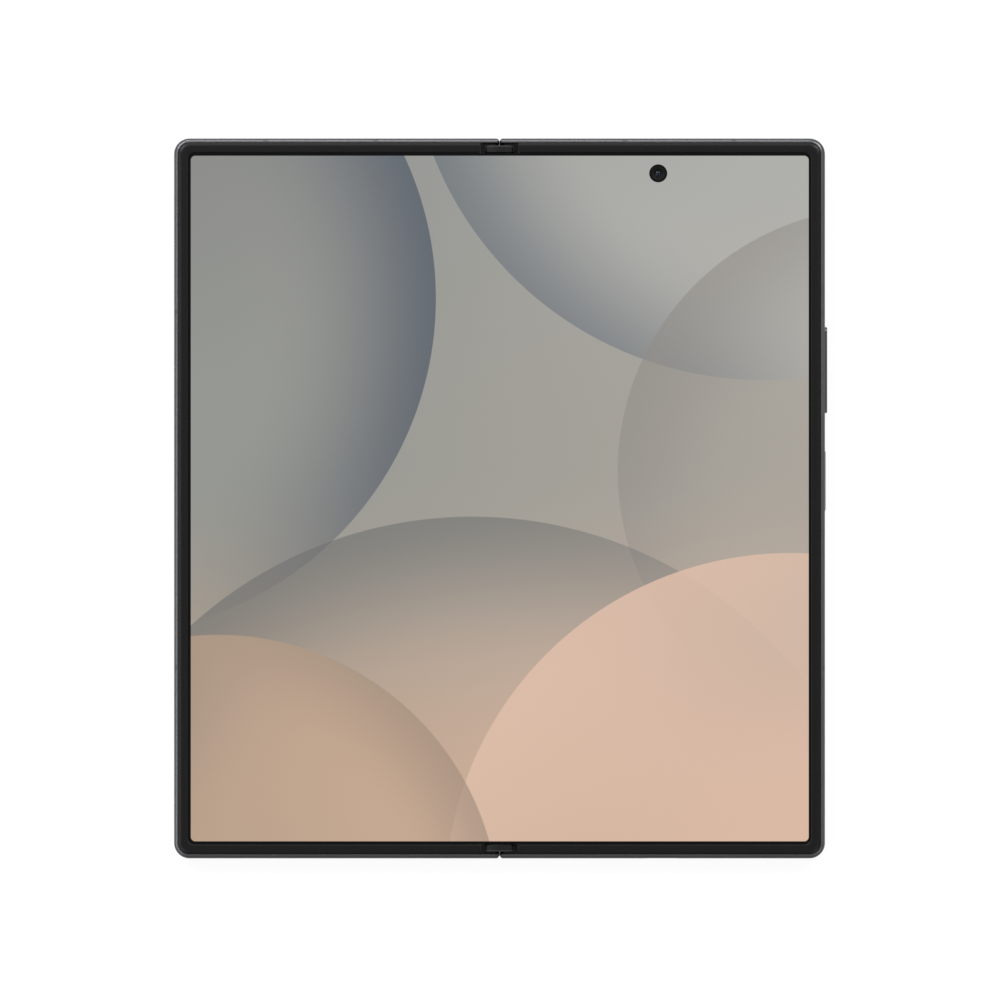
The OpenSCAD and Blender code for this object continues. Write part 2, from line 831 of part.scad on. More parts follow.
module earpiece() {
  color("#2a2b2e") lift() other_side() {
    half_l = ear_l / 2 + 1;
    block([ear_x - half_l, wall_top - half_l, glass_t + cover_disp_t + 0.1],
          [ear_x + half_l, wall_top - 0.1, mid_bot]);
  }
}

// Metal guide that holds the card tray
module card_reader() {
  tray_y = half_h - tray_up;
  x1 = half_w - rail_w - 0.3;
  x0 = half_w - 1.2 - tray_l - 1;
  color(steel) lift() other_side() translate([0, -tray_y, 0]) difference() {
    block([x0, -tray_w / 2 - 0.6, glass_t + cover_disp_t + 0.1], [x1, tray_w / 2 + 0.6, mid_bot]);
    block([x0 - 1, 0.55 - tray_w / 2, edge_mid_z - 0.48], [x1 + 1, tray_w / 2 - 0.55, edge_mid_z + 0.48]);
  }
}

module card_tray() {
  tray_y = half_h - tray_up;
  face = half_w - 1.2;
  color(metal) lift() other_side() translate([0, -tray_y, edge_mid_z]) difference() {
    union() {
      bar_x(face, half_w - 0.02) slot_2d(tray_w, key_h);
      block([face - tray_l, 0.7 - tray_w / 2, -0.4], [face + eps, tray_w / 2 - 0.7, 0.4]);
    }
    block([face - tray_l + 1.2, 1.5 - tray_w / 2, -0.1], [face - 1.6, tray_w / 2 - 1.5, 1]);
    translate([0, tray_w / 2 - 1.6, 0]) bar_x(face + 0.4, half_w + 1) circle(d = 0.8);
  }
}

module display_left() {
  color(screen) lift() other_side() rigid_display();
}

module bezel_left() {
  color(matte_black) lift() other_side() bezel();
}

module screws_left() {
  color("#c4c6c9") lift() other_side() {
    for (side = [-1, 1]) for (s = pad_screws) pad_screw(pad_screw_x, side * hinge_y - s);
    for (p = board_screws_left) board_screw(p);
  }
}

module magnets_left() {
  color("#9fa1a4") lift() other_side() magnets();
}

module hinge_bracket_left() {
  color(steel) lift() other_side() for (side = [-1, 1]) translate([0, side * hinge_y, 0]) {
    hinge_bracket(-arc_to, -arc_from, -pad_to, -pad_from, -1);
  }
}

// Section of the spine: a flat bottom and an arc about each folding axis
module spine_2d(r, top) {
  intersection() {
    union() {
      for (side = [-1, 1]) translate([side * axis_x, axis_z]) circle(r);
      translate([-axis_x, axis_z - r]) square([2 * axis_x, 2 * r]);
    }
    translate([-10, -10]) square([20, 10 + top]);
  }
}

// Outer shell of the hinge, the part that shows when the phone is folded
module spine_cover() {
  color(metal) lift() difference() {
    bar_y(-spine_l / 2, spine_l / 2) spine_2d(spine_r, rim_z);
    bar_y(-spine_l / 2 - 1, spine_l / 2 + 1) spine_2d(bore_r, half_t);
    for (side = [-1, 1]) {
      y = side * hinge_y;
      block([-10, y - arc_to - 0.4, notch_z], [10, y + arc_to + 0.4, half_t]);
    }
  }
}

// Body of one hinge module, fixed inside the spine
module hinge_block() {
  difference() {
    bar_y(-block_l / 2, block_l / 2) spine_2d(bore_r - 0.02, block_top);
    for (side = [-1, 1]) scale([side, side, 1]) {
      difference() {
        bar_y(arc_from - 0.05, arc_to + 0.05) translate([axis_x, axis_z]) circle(arc_out + arc_play);
        bar_y(arc_from - 1, arc_to + 1) translate([axis_x, axis_z]) circle(arc_in - arc_play);
      }
      block([axis_x + arc_in * 0.75, arc_from - 0.05, arm_z - 0.1], [10, arc_to + 0.05, half_t]);
    }
    block([-10, -gear_cheek, axis_z - bore_r + 0.25], [10, gear_cheek, half_t]);
    for (i = [-3:2:3]) translate([i * gear_r, gear_cheek + 0.4, gear_z]) rotate([90, 0, 0]) {
      cylinder(r = pin_r + eps, h = 2 * gear_cheek + 0.8);
    }
  }
}

module hinge_blocks() {
  color("#6e7073") lift() for (side = [-1, 1]) translate([0, side * hinge_y, 0]) hinge_block();
}

// Caps that close the two ends of the spine
module hinge_end_caps() {
  crown = 0.6;
  crown_r = (pow(cap_w / 2, 2) + pow(crown, 2)) / (2 * crown);
  color("#2e2f31") lift() for (side = [-1, 1]) scale([1, side, 1]) {
    bar_y(spine_l / 2 - cap_l, spine_l / 2) union() {
      spine_2d(bore_r - 0.02, rim_z);
      intersection() {
        translate([0, disp_top - 0.05 - crown_r]) circle(crown_r);
        translate([-cap_w / 2, rim_z - 0.4]) square([cap_w, half_t]);
      }
    }
  }
}

module gear_pins() {
  color("#c4c6c9") lift() for (side = [-1, 1]) for (i = [-3:2:3]) {
    translate([i * gear_r, side * hinge_y + gear_cheek + 0.35, gear_z]) rotate([90, 0, 0]) {
      cylinder(r = pin_r, h = 2 * gear_cheek + 0.7);
    }
  }
}

// Springs on the arm pins that hold the hinge at its stops
module detent_springs() {
  length = gear_cheek - gear_l / 2 - 0.15;
  color("#8d9094") lift() for (side = [-1, 1]) for (arm = [-3, 3]) for (end = [-1, 1]) {
    middle = side * hinge_y + end * (gear_l / 2 + 0.1 + length / 2);
    translate([arm * gear_r, middle + length / 2, gear_z]) rotate([90, 0, 0]) difference() {
      cylinder(r = spring_r, h = length);
      translate([0, 0, -1]) cylinder(r = spring_bore, h = length + 2);
    }
  }
}

// Small toothed wheel with straight-sided teeth, turned by start degrees
module gear_2d(start) {
  pitch = 360 / teeth;
  root = gear_r - gear_root;
  tip = gear_r + gear_tip;
  corners = [[root, -0.31], [tip, -0.12], [tip, 0.12], [root, 0.31]];
  difference() {
    polygon([
      for (i = [0:teeth - 1]) for (c = corners) let (angle = start + (i + c[1]) * pitch)
        [c[0] * cos(angle), c[0] * sin(angle)]
    ]);
    circle(pin_r + pin_play);
  }
}

module gear(side, start) {
  y = side * hinge_y;
  bar_y(y - gear_l / 2, y + gear_l / 2) gear_2d(start);
}

// Gear with a bar that keeps one half in step with the other
module sync_arm(start) {
  for (side = [-1, 1]) difference() {
    union() {
      gear(side, start);
      block([0, side * hinge_y - arm_w / 2, 0.1], [arm_end - 3 * gear_r, side * hinge_y + arm_w / 2, 0.1 + bar_t]);
    }
    translate([0, side * hinge_y + 5, 0]) rotate([90, 0, 0]) cylinder(r = pin_r + pin_play, h = 10);
  }
}

module sync_arm_right() {
  color("#8f9296") lift() translate([3 * gear_r, 0, gear_z]) sync_arm(0);
}

module sync_arm_left() {
  color("#8f9296") lift() translate([-3 * gear_r, 0, gear_z]) other_side() sync_arm(180 / teeth);
}

module idler_gear_right() {
  color("#b39b5e") lift() translate([gear_r, 0, gear_z]) for (side = [-1, 1]) gear(side, 180 / teeth);
}

module idler_gear_left() {
  color("#b39b5e") lift() translate([-gear_r, 0, gear_z]) for (side = [-1, 1]) gear(side, 0);
}

// The part of the display that bends over the hinge
module display_fold() {
  y = half_h - end_wall - spine_end_gap - cap_l - 0.2;
  color(screen) lift() block([-bend_x, -y, disp_bot], [bend_x, y, disp_top]);
}

// Two ribbon cables that cross the hinge between the boards
module hinge_flex() {
  route = [[0, flex_z], [5.4, flex_z], [6.8, flex_low], [flex_end, flex_low]];
  lower = [for (p = route) [p[0], p[1] - flex_t / 2]];
  upper = [for (i = [3:-1:0]) [route[i][0], route[i][1] + flex_t / 2]];
  color("#a8772f") lift() for (y = flex_at) for (side = [-1, 1]) scale([side, 1, 1]) {
    bar_y(y - flex_w / 2, y + flex_w / 2) polygon(concat(lower, upper));
  }
}

frame_right();
antenna_bands_right();
back_glass();
camera_island();
camera_rings();
camera_lens_glass();
camera_modules();
lens_barrel_wide();
lens_barrel_main();
lens_barrel_tele();
flash_lens();
main_board();
board_shields();
battery_right();
charging_coil();
usb_c_port();
lower_board();
loudspeaker();
haptic_motor();
haptic_mass();
microphones();
inner_camera();
key_switches();
volume_key();
side_key();
display_right();
bezel_right();
screws_right();
magnets_right();
hinge_bracket_right();
frame_left();
antenna_bands_left();
cover_glass();
cover_display();
cover_camera();
left_board();
left_shields();
battery_left();
earpiece();
card_reader();
card_tray();
display_left();
bezel_left();
screws_left();
magnets_left();
hinge_bracket_left();
spine_cover();
hinge_blocks();
hinge_end_caps();
gear_pins();
detent_springs();
sync_arm_right();
sync_arm_left();
idler_gear_right();
idler_gear_left();
display_fold();
hinge_flex();
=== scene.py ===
"""Foldable smartphone, open flat on its back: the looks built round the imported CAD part."""

import logging
import math
from abc import ABC, abstractmethod
from collections.abc import Callable, Mapping, Sequence
from dataclasses import dataclass, field
from enum import Enum

import bpy
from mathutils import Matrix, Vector
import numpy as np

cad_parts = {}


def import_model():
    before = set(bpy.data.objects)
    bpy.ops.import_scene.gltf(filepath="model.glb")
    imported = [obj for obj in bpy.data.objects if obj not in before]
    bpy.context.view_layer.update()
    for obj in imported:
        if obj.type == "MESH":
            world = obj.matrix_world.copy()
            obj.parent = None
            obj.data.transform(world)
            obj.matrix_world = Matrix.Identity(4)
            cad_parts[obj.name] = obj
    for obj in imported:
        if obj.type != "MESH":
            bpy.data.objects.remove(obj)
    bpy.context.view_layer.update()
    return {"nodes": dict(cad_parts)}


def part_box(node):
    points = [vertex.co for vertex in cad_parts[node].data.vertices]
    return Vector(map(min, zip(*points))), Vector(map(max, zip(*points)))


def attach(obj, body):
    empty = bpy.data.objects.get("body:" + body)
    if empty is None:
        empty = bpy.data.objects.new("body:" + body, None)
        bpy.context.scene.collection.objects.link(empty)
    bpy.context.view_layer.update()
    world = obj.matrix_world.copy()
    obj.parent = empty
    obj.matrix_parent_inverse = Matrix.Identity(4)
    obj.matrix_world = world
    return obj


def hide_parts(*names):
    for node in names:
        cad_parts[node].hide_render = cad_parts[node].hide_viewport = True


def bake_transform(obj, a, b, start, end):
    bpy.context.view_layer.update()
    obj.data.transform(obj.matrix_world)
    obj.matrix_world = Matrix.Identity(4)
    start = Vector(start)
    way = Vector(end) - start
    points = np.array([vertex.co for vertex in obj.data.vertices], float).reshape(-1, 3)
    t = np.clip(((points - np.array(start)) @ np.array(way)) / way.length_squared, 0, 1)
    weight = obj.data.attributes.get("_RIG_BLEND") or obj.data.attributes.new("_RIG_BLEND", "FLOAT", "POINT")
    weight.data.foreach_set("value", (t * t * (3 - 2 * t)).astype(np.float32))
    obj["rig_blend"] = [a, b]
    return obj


log = logging.getLogger("foldable_smartphone")

MM = 0.001
LIFT = 2.3 * MM
HALF_W = 71.6 * MM
HALF_H = 79.2 * MM
CORNER_R = 3.4 * MM
PANEL_TOP = LIFT + 3.95 * MM
PANEL_BOTTOM = LIFT + 3.35 * MM
EYE_X, EYE_Y = 34.9 * MM, 71.5 * MM
LENS_X = 58.5 * MM
LENS_YS = (64.5 * MM, 47.9 * MM, 31.3 * MM)
LENS_PITCH = 16.6 * MM
FLASH_X, FLASH_Y = 45.7 * MM, 64.5 * MM

Colour = tuple[float, float, float]
Point = tuple[float, float, float]
Piece = bpy.types.Object

ORIGIN: Point = (0.0, 0.0, 0.0)


def tinted(colour: Colour, amount: float) -> Colour:
    """A colour made darker or lighter by a factor."""
    return tuple(part * amount for part in colour)


def quarter_round(radius: float, steps: int) -> list[tuple[float, float]]:
    """Walks along a quarter round from the wall to the face.

    Args:
        radius: The round's radius.
        steps: How many equal turns it takes.

    Returns:
        For each stop, how far it lies in from the wall and how far it is from the face.
    """
    turns = [math.pi / 2 * step / steps for step in range(steps + 1)]
    return [(radius * (1 - math.cos(turn)), radius * (1 - math.sin(turn))) for turn in turns]


def rgb(code: str) -> Colour:
    """Turns a display colour such as "8c8d8a" into linear light.

    Args:
        code: Six hexadecimal digits.

    Returns:
        Red, green and blue from 0 to 1.
    """
    parts = [int(code[i : i + 2], 16) / 255 for i in (0, 2, 4)]
    return tuple(p / 12.92 if p <= 0.04045 else ((p + 0.055) / 1.055) ** 2.4 for p in parts)


def paint(colour: Colour) -> tuple[float, float, float, float]:
    """A colour with full alpha, as sockets take it."""
    return (*colour, 1.0)


class Value:
    """A number socket that takes part in Python expressions, each of which adds a Math node."""

    def __init__(self, graph: "Graph", socket: bpy.types.NodeSocket) -> None:
        """Keeps the graph and the socket that the value comes from."""
        self.graph = graph
        self.socket = socket

    def apply(self, operation: str, *operands: "Value | float") -> "Value":
        """The result of one Math node, with the operands in its sockets in order."""
        made = self.graph.node("ShaderNodeMath", {"operation": operation}, dict(enumerate(operands)))
        return Value(self.graph, made.outputs[0])

    def __add__(self, other: "Value | float") -> "Value":
        """self + other."""
        return self.apply("ADD", self, other)

    def __radd__(self, other: float) -> "Value":
        """other + self."""
        return self.apply("ADD", other, self)

    def __sub__(self, other: "Value | float") -> "Value":
        """self - other."""
        return self.apply("SUBTRACT", self, other)

    def __rsub__(self, other: float) -> "Value":
        """other - self."""
        return self.apply("SUBTRACT", other, self)

    def __mul__(self, other: "Value | float") -> "Value":
        """self * other."""
        return self.apply("MULTIPLY", self, other)

    def __rmul__(self, other: float) -> "Value":
        """other * self."""
        return self.apply("MULTIPLY", other, self)

    def __truediv__(self, other: "Value | float") -> "Value":
        """self / other."""
        return self.apply("DIVIDE", self, other)

    def __rtruediv__(self, other: float) -> "Value":
        """other / self."""
        return self.apply("DIVIDE", other, self)

    def __abs__(self) -> "Value":
        """The distance from zero."""
        return self.apply("ABSOLUTE", self)

    def least(self, other: "Value | float") -> "Value":
        """The smaller of the two."""
        return self.apply("MINIMUM", self, other)

    def most(self, other: "Value | float") -> "Value":
        """The larger of the two."""
        return self.apply("MAXIMUM", self, other)

    def wave(self) -> "Value":
        """The sine, brought to run from 0 to 1."""
        return self.apply("SINE", self) * 0.5 + 0.5

    def repeat(self, pitch: float) -> "Value":
        """The value as measured from the nearest multiple of pitch."""
        return self - self.apply("SNAP", self + pitch / 2, pitch)

    def between(self, low: float, high: float) -> "Value":
        """A smooth step.

        Args:
            low: Where the result is 0.
            high: Where the result is 1, above or below low.

        Returns:
            The step, from 0 to 1.
        """
        flip = high < low
        made = self.graph.node(
            "ShaderNodeMapRange",
            {"interpolation_type": "SMOOTHSTEP"},
            {
                "Value": self,
                "From Min": min(low, high),
                "From Max": max(low, high),
                "To Min": 1.0 if flip else 0.0,
                "To Max": 0.0 if flip else 1.0,
            },
        )
        return Value(self.graph, made.outputs[0])


Shade = Value | Colour


class Graph:
    """The node tree of a material or world."""

    def __init__(self, tree: bpy.types.NodeTree) -> None:
        """Empties the tree that it fills."""
        self.tree = tree
        tree.nodes.clear()

    def node(
        self,
        kind: str,
        settings: Mapping[str, object] | None = None,
        inputs: Mapping[str | int, object] | None = None,
    ) -> bpy.types.Node:
        """Adds any node.

        Args:
            kind: The node's type.
            settings: Its properties; "stops" holds a ramp's places and colours.
            inputs: Values or links for its sockets, by name or number.

        Returns:
            The new node.
        """
        made = self.tree.nodes.new(kind)
        for name, value in (settings or {}).items():
            if name == "stops":
                self.set_stops(made, value)
            else:
                setattr(made, name, value)
        for name, value in (inputs or {}).items():
            if isinstance(value, Value):
                self.tree.links.new(value.socket, made.inputs[name])
            elif isinstance(value, tuple) and made.inputs[name].type == "RGBA":
                made.inputs[name].default_value = (*value, 1.0)[:4]
            else:
                made.inputs[name].default_value = value
        return made

    @staticmethod
    def set_stops(ramp: bpy.types.Node, stops: Sequence[tuple[float, Colour]]) -> None:
        """Sets a colour ramp's places and colours.

        Args:
            ramp: The ramp's node.
            stops: Its places and colours, in order.
        """
        elements = ramp.color_ramp.elements
        while len(elements) < len(stops):
            elements.new(1.0)
        for element, (place, colour) in zip(elements, stops):
            element.position = place
            element.color = paint(colour)

    def value(
        self, kind: str, settings: Mapping | None = None, inputs: Mapping | None = None, out: str | int = 0
    ) -> Value:
        """Adds any node and gives one of its outputs."""
        return Value(self, self.node(kind, settings, inputs).outputs[out])

    def place(self) -> Value:
        """The point on the piece, in metres from the object's origin."""
        return self.value("ShaderNodeTexCoord", out="Object")

    def split(self, vector: Value) -> tuple[Value, Value, Value]:
        """The three numbers of a vector."""
        made = self.node("ShaderNodeSeparateXYZ", None, {0: vector})
        return tuple(Value(self, socket) for socket in made.outputs)

    def spot(self) -> tuple[Value, Value, Value]:
        """The point on the piece as three numbers, in millimetres."""
        return tuple(number / MM for number in self.split(self.place()))

    def join(self, x: Value | float, y: Value | float, z: Value | float = 0.0) -> Value:
        """A vector from three numbers."""
        return self.value("ShaderNodeCombineXYZ", None, {0: x, 1: y, 2: z})

    def stretch(self, vector: Value, amounts: Point) -> Value:
        """A vector with each of its numbers multiplied."""
        return self.value("ShaderNodeVectorMath", {"operation": "MULTIPLY"}, {0: vector, 1: amounts})

    def far(self, vector: Value, point: Point = ORIGIN) -> Value:
        """The distance from a vector to a fixed point."""
        return self.value("ShaderNodeVectorMath", {"operation": "DISTANCE"}, {0: vector, 1: point}, "Value")

    def noise(self, vector: Value, scale: float, detail: float = 2.0, rough: float = 0.5) -> Value:
        """Smooth noise of a given number of features in a metre, from 0 to 1."""
        inputs = {"Vector": vector, "Scale": scale, "Detail": detail, "Roughness": rough}
        return self.value("ShaderNodeTexNoise", None, inputs)

    def mix(self, factor: Value | float, low: Shade, high: Shade) -> Value:
        """Blends two colours, low at a factor of 0."""
        made = self.node("ShaderNodeMix", {"data_type": "RGBA"}, {0: factor, 6: low, 7: high})
        return Value(self, made.outputs[2])

    def grain(self, scale: float = 5000) -> Value:
        """The fine texture of a surface, from 0 to 1."""
        return self.noise(self.place(), scale, 3.0, 0.6)

    def edges(self, radius: float) -> Value:
        """The normal with sharp edges eased to a small radius."""
        return self.value("ShaderNodeBevel", {"samples": 4}, {"Radius": radius})

    def bump(self, height: Value, depth: float, normal: Value | None = None) -> Value:
        """Makes a relief.

        Args:
            height: The relief, from 0 to 1.
            depth: How far it rises from 0 to 1, in metres.
            normal: The normal under it, such as eased edges.

        Returns:
            The normal that the shader takes.
        """
        inputs = {"Strength": 1.0, "Distance": depth, "Height": height}
        if normal is not None:
            inputs["Normal"] = normal
        return self.value("ShaderNodeBump", None, inputs)

    def surface(self, **sockets: Shade | float) -> None:
        """Ends the tree with a Principled shader.

        Args:
            sockets: Its sockets by name, with _ for a space.
        """
        inputs = {name.replace("_", " "): value for name, value in sockets.items()}
        shader = self.value("ShaderNodeBsdfPrincipled", None, inputs)
        self.node("ShaderNodeOutputMaterial", None, {"Surface": shader})


class Finish(ABC):
    """A surface finish, made into one material the first time that it is used."""

    name: str

    @abstractmethod
    def draw(self, graph: Graph) -> None:
        """Fills the material's node tree."""

    def material(self) -> bpy.types.Material:
        """Makes the material, or finds it.

        Returns:
            The one material of this finish.
        """
        made = bpy.data.materials.get(self.name)
        if made is None:
            made = bpy.data.materials.new(self.name)
            made.use_nodes = True
            self.draw(Graph(made.node_tree))
        return made

    def dress(self, *pieces: Piece) -> None:
        """Gives the pieces this finish all over.

        Args:
            pieces: The pieces.
        """
        for piece in pieces:
            piece.data.materials.clear()
            piece.data.materials.append(self.material())


@dataclass(frozen=True)
class BlastedMetal(Finish):
    """Anodised aluminium with a fine blasted grain and eased edges, with painted shade inside the hinge well.
    """

    name: str
    colour: Colour
    roughness: float = 0.36
    grain: float = 0.004 * MM
    edge: float = 0.07 * MM
    # Where painted shade darkens the metal in the hinge well: its x and y edges, its heights, and the shade's
    # colour (black).
    painted_shade_well: tuple[float, float] = (4.15, 78.3)
    painted_shade_well_z: tuple[float, float] = (2.75, 6.15)
    black: Colour = (0.018, 0.018, 0.019)

    def draw(self, graph: Graph) -> None:
        """Grain of a tenth of a millimetre over a slow drift in tone, and painted shade in the hinge well.

        Args:
            graph: The material's graph.
        """
        drift = graph.noise(graph.place(), 90, 3.0)
        grain = graph.grain(9000)
        x, y, z = graph.spot()
        low, high = self.painted_shade_well_z
        # Painted shade: inside the hinge well the metal's tone gives way to the dark shade colour.
        painted_shade_well = z.between(low, low + 0.1) * z.between(high + 0.1, high)
        for axis, edge in zip((x, y), self.painted_shade_well):
            painted_shade_well = painted_shade_well * abs(axis).between(edge + 0.02, edge)
        tone = graph.mix(drift * 0.6 + grain * 0.4, tinted(self.colour, 0.9), tinted(self.colour, 1.1))
        graph.surface(
            Base_Color=graph.mix(painted_shade_well, tone, self.black),
            Metallic=1.0,
            Roughness=self.roughness - 0.05 + grain * 0.08 + drift * 0.04,
            Normal=graph.bump(grain, self.grain, graph.edges(self.edge)),
        )


@dataclass(frozen=True)
class MouldedPlastic(Finish):
    """Matte moulded plastic or rubber with a fine spark-eroded texture."""

    name: str
    colour: Colour
    roughness: float = 0.5
    specular: float = 0.5
    texture: float = 0.006 * MM
    scale: float = 5000

    def draw(self, graph: Graph) -> None:
        """Fine texture with a slight change in tone and gloss.

        Args:
            graph: The material's graph.
        """
        texture = graph.grain(self.scale)
        drift = graph.noise(graph.place(), 120, 2.0)
        dark, light = tinted(self.colour, 0.85), tinted(self.colour, 1.15)
        graph.surface(
            Base_Color=graph.mix(drift * 0.5 + texture * 0.5, dark, light),
            Roughness=self.roughness - 0.05 + texture * 0.1,
            Specular_IOR_Level=self.specular,
            Normal=graph.bump(texture, self.texture, graph.edges(0.06 * MM)),
        )


@dataclass(frozen=True)
class CapPlastic(Finish):
    """Black plastic of the hinge caps, with a painted highlight along the outer rim."""

    name: str = "hinge cap plastic"
    dark: Colour = (0.0035, 0.0035, 0.0036)
    light: Colour = (0.005, 0.005, 0.0052)
    # rim: the colour of a painted highlight along the outer rim's edge.
    rim: Colour = (0.03, 0.03, 0.031)
    painted_highlight_y: float = 77.35

    def draw(self, graph: Graph) -> None:
        """Fine texture, and the painted highlight on the rim by the distance along the hinge.

        Args:
            graph: The material's graph.
        """
        # Painted highlight: beyond this distance along the hinge the cap is lighter and a little glossier.
        rim = abs(graph.spot()[1]).between(self.painted_highlight_y, self.painted_highlight_y + 0.1)
        texture = graph.grain()
        body = graph.mix(texture, self.dark, self.light)
        graph.surface(
            Base_Color=graph.mix(rim, body, self.rim),
            Roughness=0.42 - rim * 0.1 + texture * 0.06,
            Specular_IOR_Level=0.15,
            Normal=graph.bump(texture, 0.003 * MM),
        )


@dataclass(frozen=True)
class FrostedGlass(Finish):
    """Back glass: a deep graphite colour under an etched surface."""

    name: str = "back glass, etched"
    colour: Colour = (0.05, 0.051, 0.055)
    roughness: float = 0.3

    def draw(self, graph: Graph) -> None:
        """Etched surface with a faint sparkle of pigment under it.

        Args:
            graph: The material's graph.
        """
        place = graph.place()
        etch = graph.noise(place, 14000, 2.0)
        sparkle = graph.noise(place, 3200, 2.0, 0.7).between(0.62, 0.8)
        graph.surface(
            Base_Color=graph.mix(sparkle * 0.5, self.colour, tinted(self.colour, 2.2)),
            Metallic=0.55,
            Roughness=self.roughness + etch * 0.08,
            Coat_Weight=0.3,
            Coat_Roughness=0.25,
            Normal=graph.bump(etch, 0.0012 * MM, graph.edges(0.08 * MM)),
        )


@dataclass(frozen=True)
class CoverWindow(Finish):
    """Polished black glass over the outer display, which is off, and its camera."""

    name: str = "cover window glass"
    camera: tuple[float, float] = (-37.0, 71.0)
    panel_x: float = 36.2

    def draw(self, graph: Graph) -> None:
        """The panel's edge just shows under the glass, and so does the camera's eye.

        Args:
            graph: The material's graph.
        """
        x, y, _ = graph.spot()
        panel = abs(x + self.panel_x).between(33.4, 33.2) * abs(y).between(76.2, 76.0)
        eye = graph.far(graph.join(x, y), (*self.camera, 0.0))
        ring = eye.between(1.75, 1.68) * eye.between(1.3, 1.38)
        pupil = eye.between(0.75, 0.6)
        tone = graph.mix(panel, (0.0035, 0.0036, 0.004), (0.006, 0.0063, 0.0075))
        tone = graph.mix(eye.between(1.8, 1.7), tone, (0.0015, 0.0015, 0.0018))
        tone = graph.mix(ring, tone, (0.02, 0.02, 0.022))
        tone = graph.mix(pupil, tone, (0.008, 0.012, 0.03))
        smear = graph.noise(graph.place(), 60, 3.0)
        graph.surface(
            Base_Color=tone,
            Roughness=0.04 + smear * 0.03,
            Specular_IOR_Level=0.55,
            Coat_Weight=0.4,
            Coat_Roughness=0.03,
            Normal=graph.edges(0.1 * MM),
        )


class LensFinish(Finish):
    """A finish that runs round the middle of each rear lens."""

    @staticmethod
    def radius(graph: Graph) -> Value:
        """Measures round the nearest lens.

        Args:
            graph: The material's graph.

        Returns:
            The distance from its middle, in millimetres.
        """
        x, y, _ = graph.spot()
        local = graph.join(x - LENS_X / MM, (y - LENS_YS[1] / MM).repeat(LENS_PITCH / MM))
        return graph.far(local)


@dataclass(frozen=True)
class ClearGlass(LensFinish):
    """Clear cover glass, coated against reflections, dark at its printed rim."""

    name: str = "lens cover glass"
    rim: float = 4.75

    def draw(self, graph: Graph) -> None:
        """Nearly clear within the rim, with a trace of smears.

        Args:
            graph: The material's graph.
        """
        rim = self.radius(graph).between(self.rim - 0.05, self.rim + 0.05)
        smear = graph.noise(graph.place(), 400, 2.0)
        graph.surface(
            Base_Color=graph.mix(rim, (0.02, 0.024, 0.03), (0.002, 0.002, 0.002)),
            Roughness=0.02 + smear * 0.02,
            Alpha=0.14 + smear * 0.03 + rim * 0.8,
        )


@dataclass(frozen=True)
class CoatedLens(Finish):
    """A dark lens element whose coating turns from one hue to another towards its rim."""

    name: str
    core: Colour = (0.004, 0.005, 0.012)
    coat: Colour = (0.05, 0.02, 0.09)
    rim: Colour = (0.01, 0.05, 0.05)
    glint: Colour = (0.6, 0.45, 1.0)
    gloss: float = 1.0
    blur: float = 0.03

    def draw(self, graph: Graph) -> None:
        """The hue comes with the angle, as on a real coating.

        Args:
            graph: The material's graph.
        """
        facing = graph.value("ShaderNodeLayerWeight", None, {"Blend": 0.35}, "Facing")
        dust = graph.noise(graph.place(), 5000, 2.0)
        tone = graph.mix(facing.between(0.0, 0.45), self.core, self.coat)
        tone = graph.mix(facing.between(0.45, 0.95), tone, self.rim)
        graph.surface(
            Base_Color=tone,
            Roughness=self.blur + dust * 0.02,
            Specular_IOR_Level=self.gloss,
            Specular_Tint=self.glint,
            Coat_Weight=0.1 * self.gloss,
            Coat_Roughness=0.02,
        )


@dataclass(frozen=True)
class TurnedMetal(LensFinish):
    """Lens rings with fine turning lines and a bright bevel."""

    name: str = "lens ring metal"
    colour: Colour = (0.16, 0.16, 0.17)

    def draw(self, graph: Graph) -> None:
        """Turning lines run round each ring's own centre."""
        lines = graph.noise(graph.join(self.radius(graph), graph.spot()[2]), 28, 3.0, 0.7)
        graph.surface(
            Base_Color=graph.mix(lines, tinted(self.colour, 0.8), tinted(self.colour, 1.2)),
            Metallic=1.0,
            Roughness=0.2 + lines * 0.14,
            Normal=graph.bump(lines, 0.003 * MM, graph.edges(0.05 * MM)),
        )


BRUSHED_X: Point = (400.0, 9000.0, 9000.0)


@dataclass(frozen=True)
class BrushedSteel(Finish):
    """Stamped steel with brushing along one direction."""

    name: str
    colour: Colour = (0.5, 0.5, 0.51)
    roughness: float = 0.3
    along: Point = BRUSHED_X

    def draw(self, graph: Graph) -> None:
        """Brushing lines with a few worn spots.

        Args:
            graph: The material's graph.
        """
        lines = graph.noise(graph.stretch(graph.place(), self.along), 1.0, 3.0, 0.6)
        wear = graph.grain(500)
        graph.surface(
            Base_Color=graph.mix(lines * 0.6 + wear * 0.4, tinted(self.colour, 0.75), self.colour),
            Metallic=1.0,
            Roughness=self.roughness - 0.06 + lines * 0.08 + wear * 0.08,
            Normal=graph.bump(lines, 0.003 * MM, graph.edges(0.06 * MM)),
        )


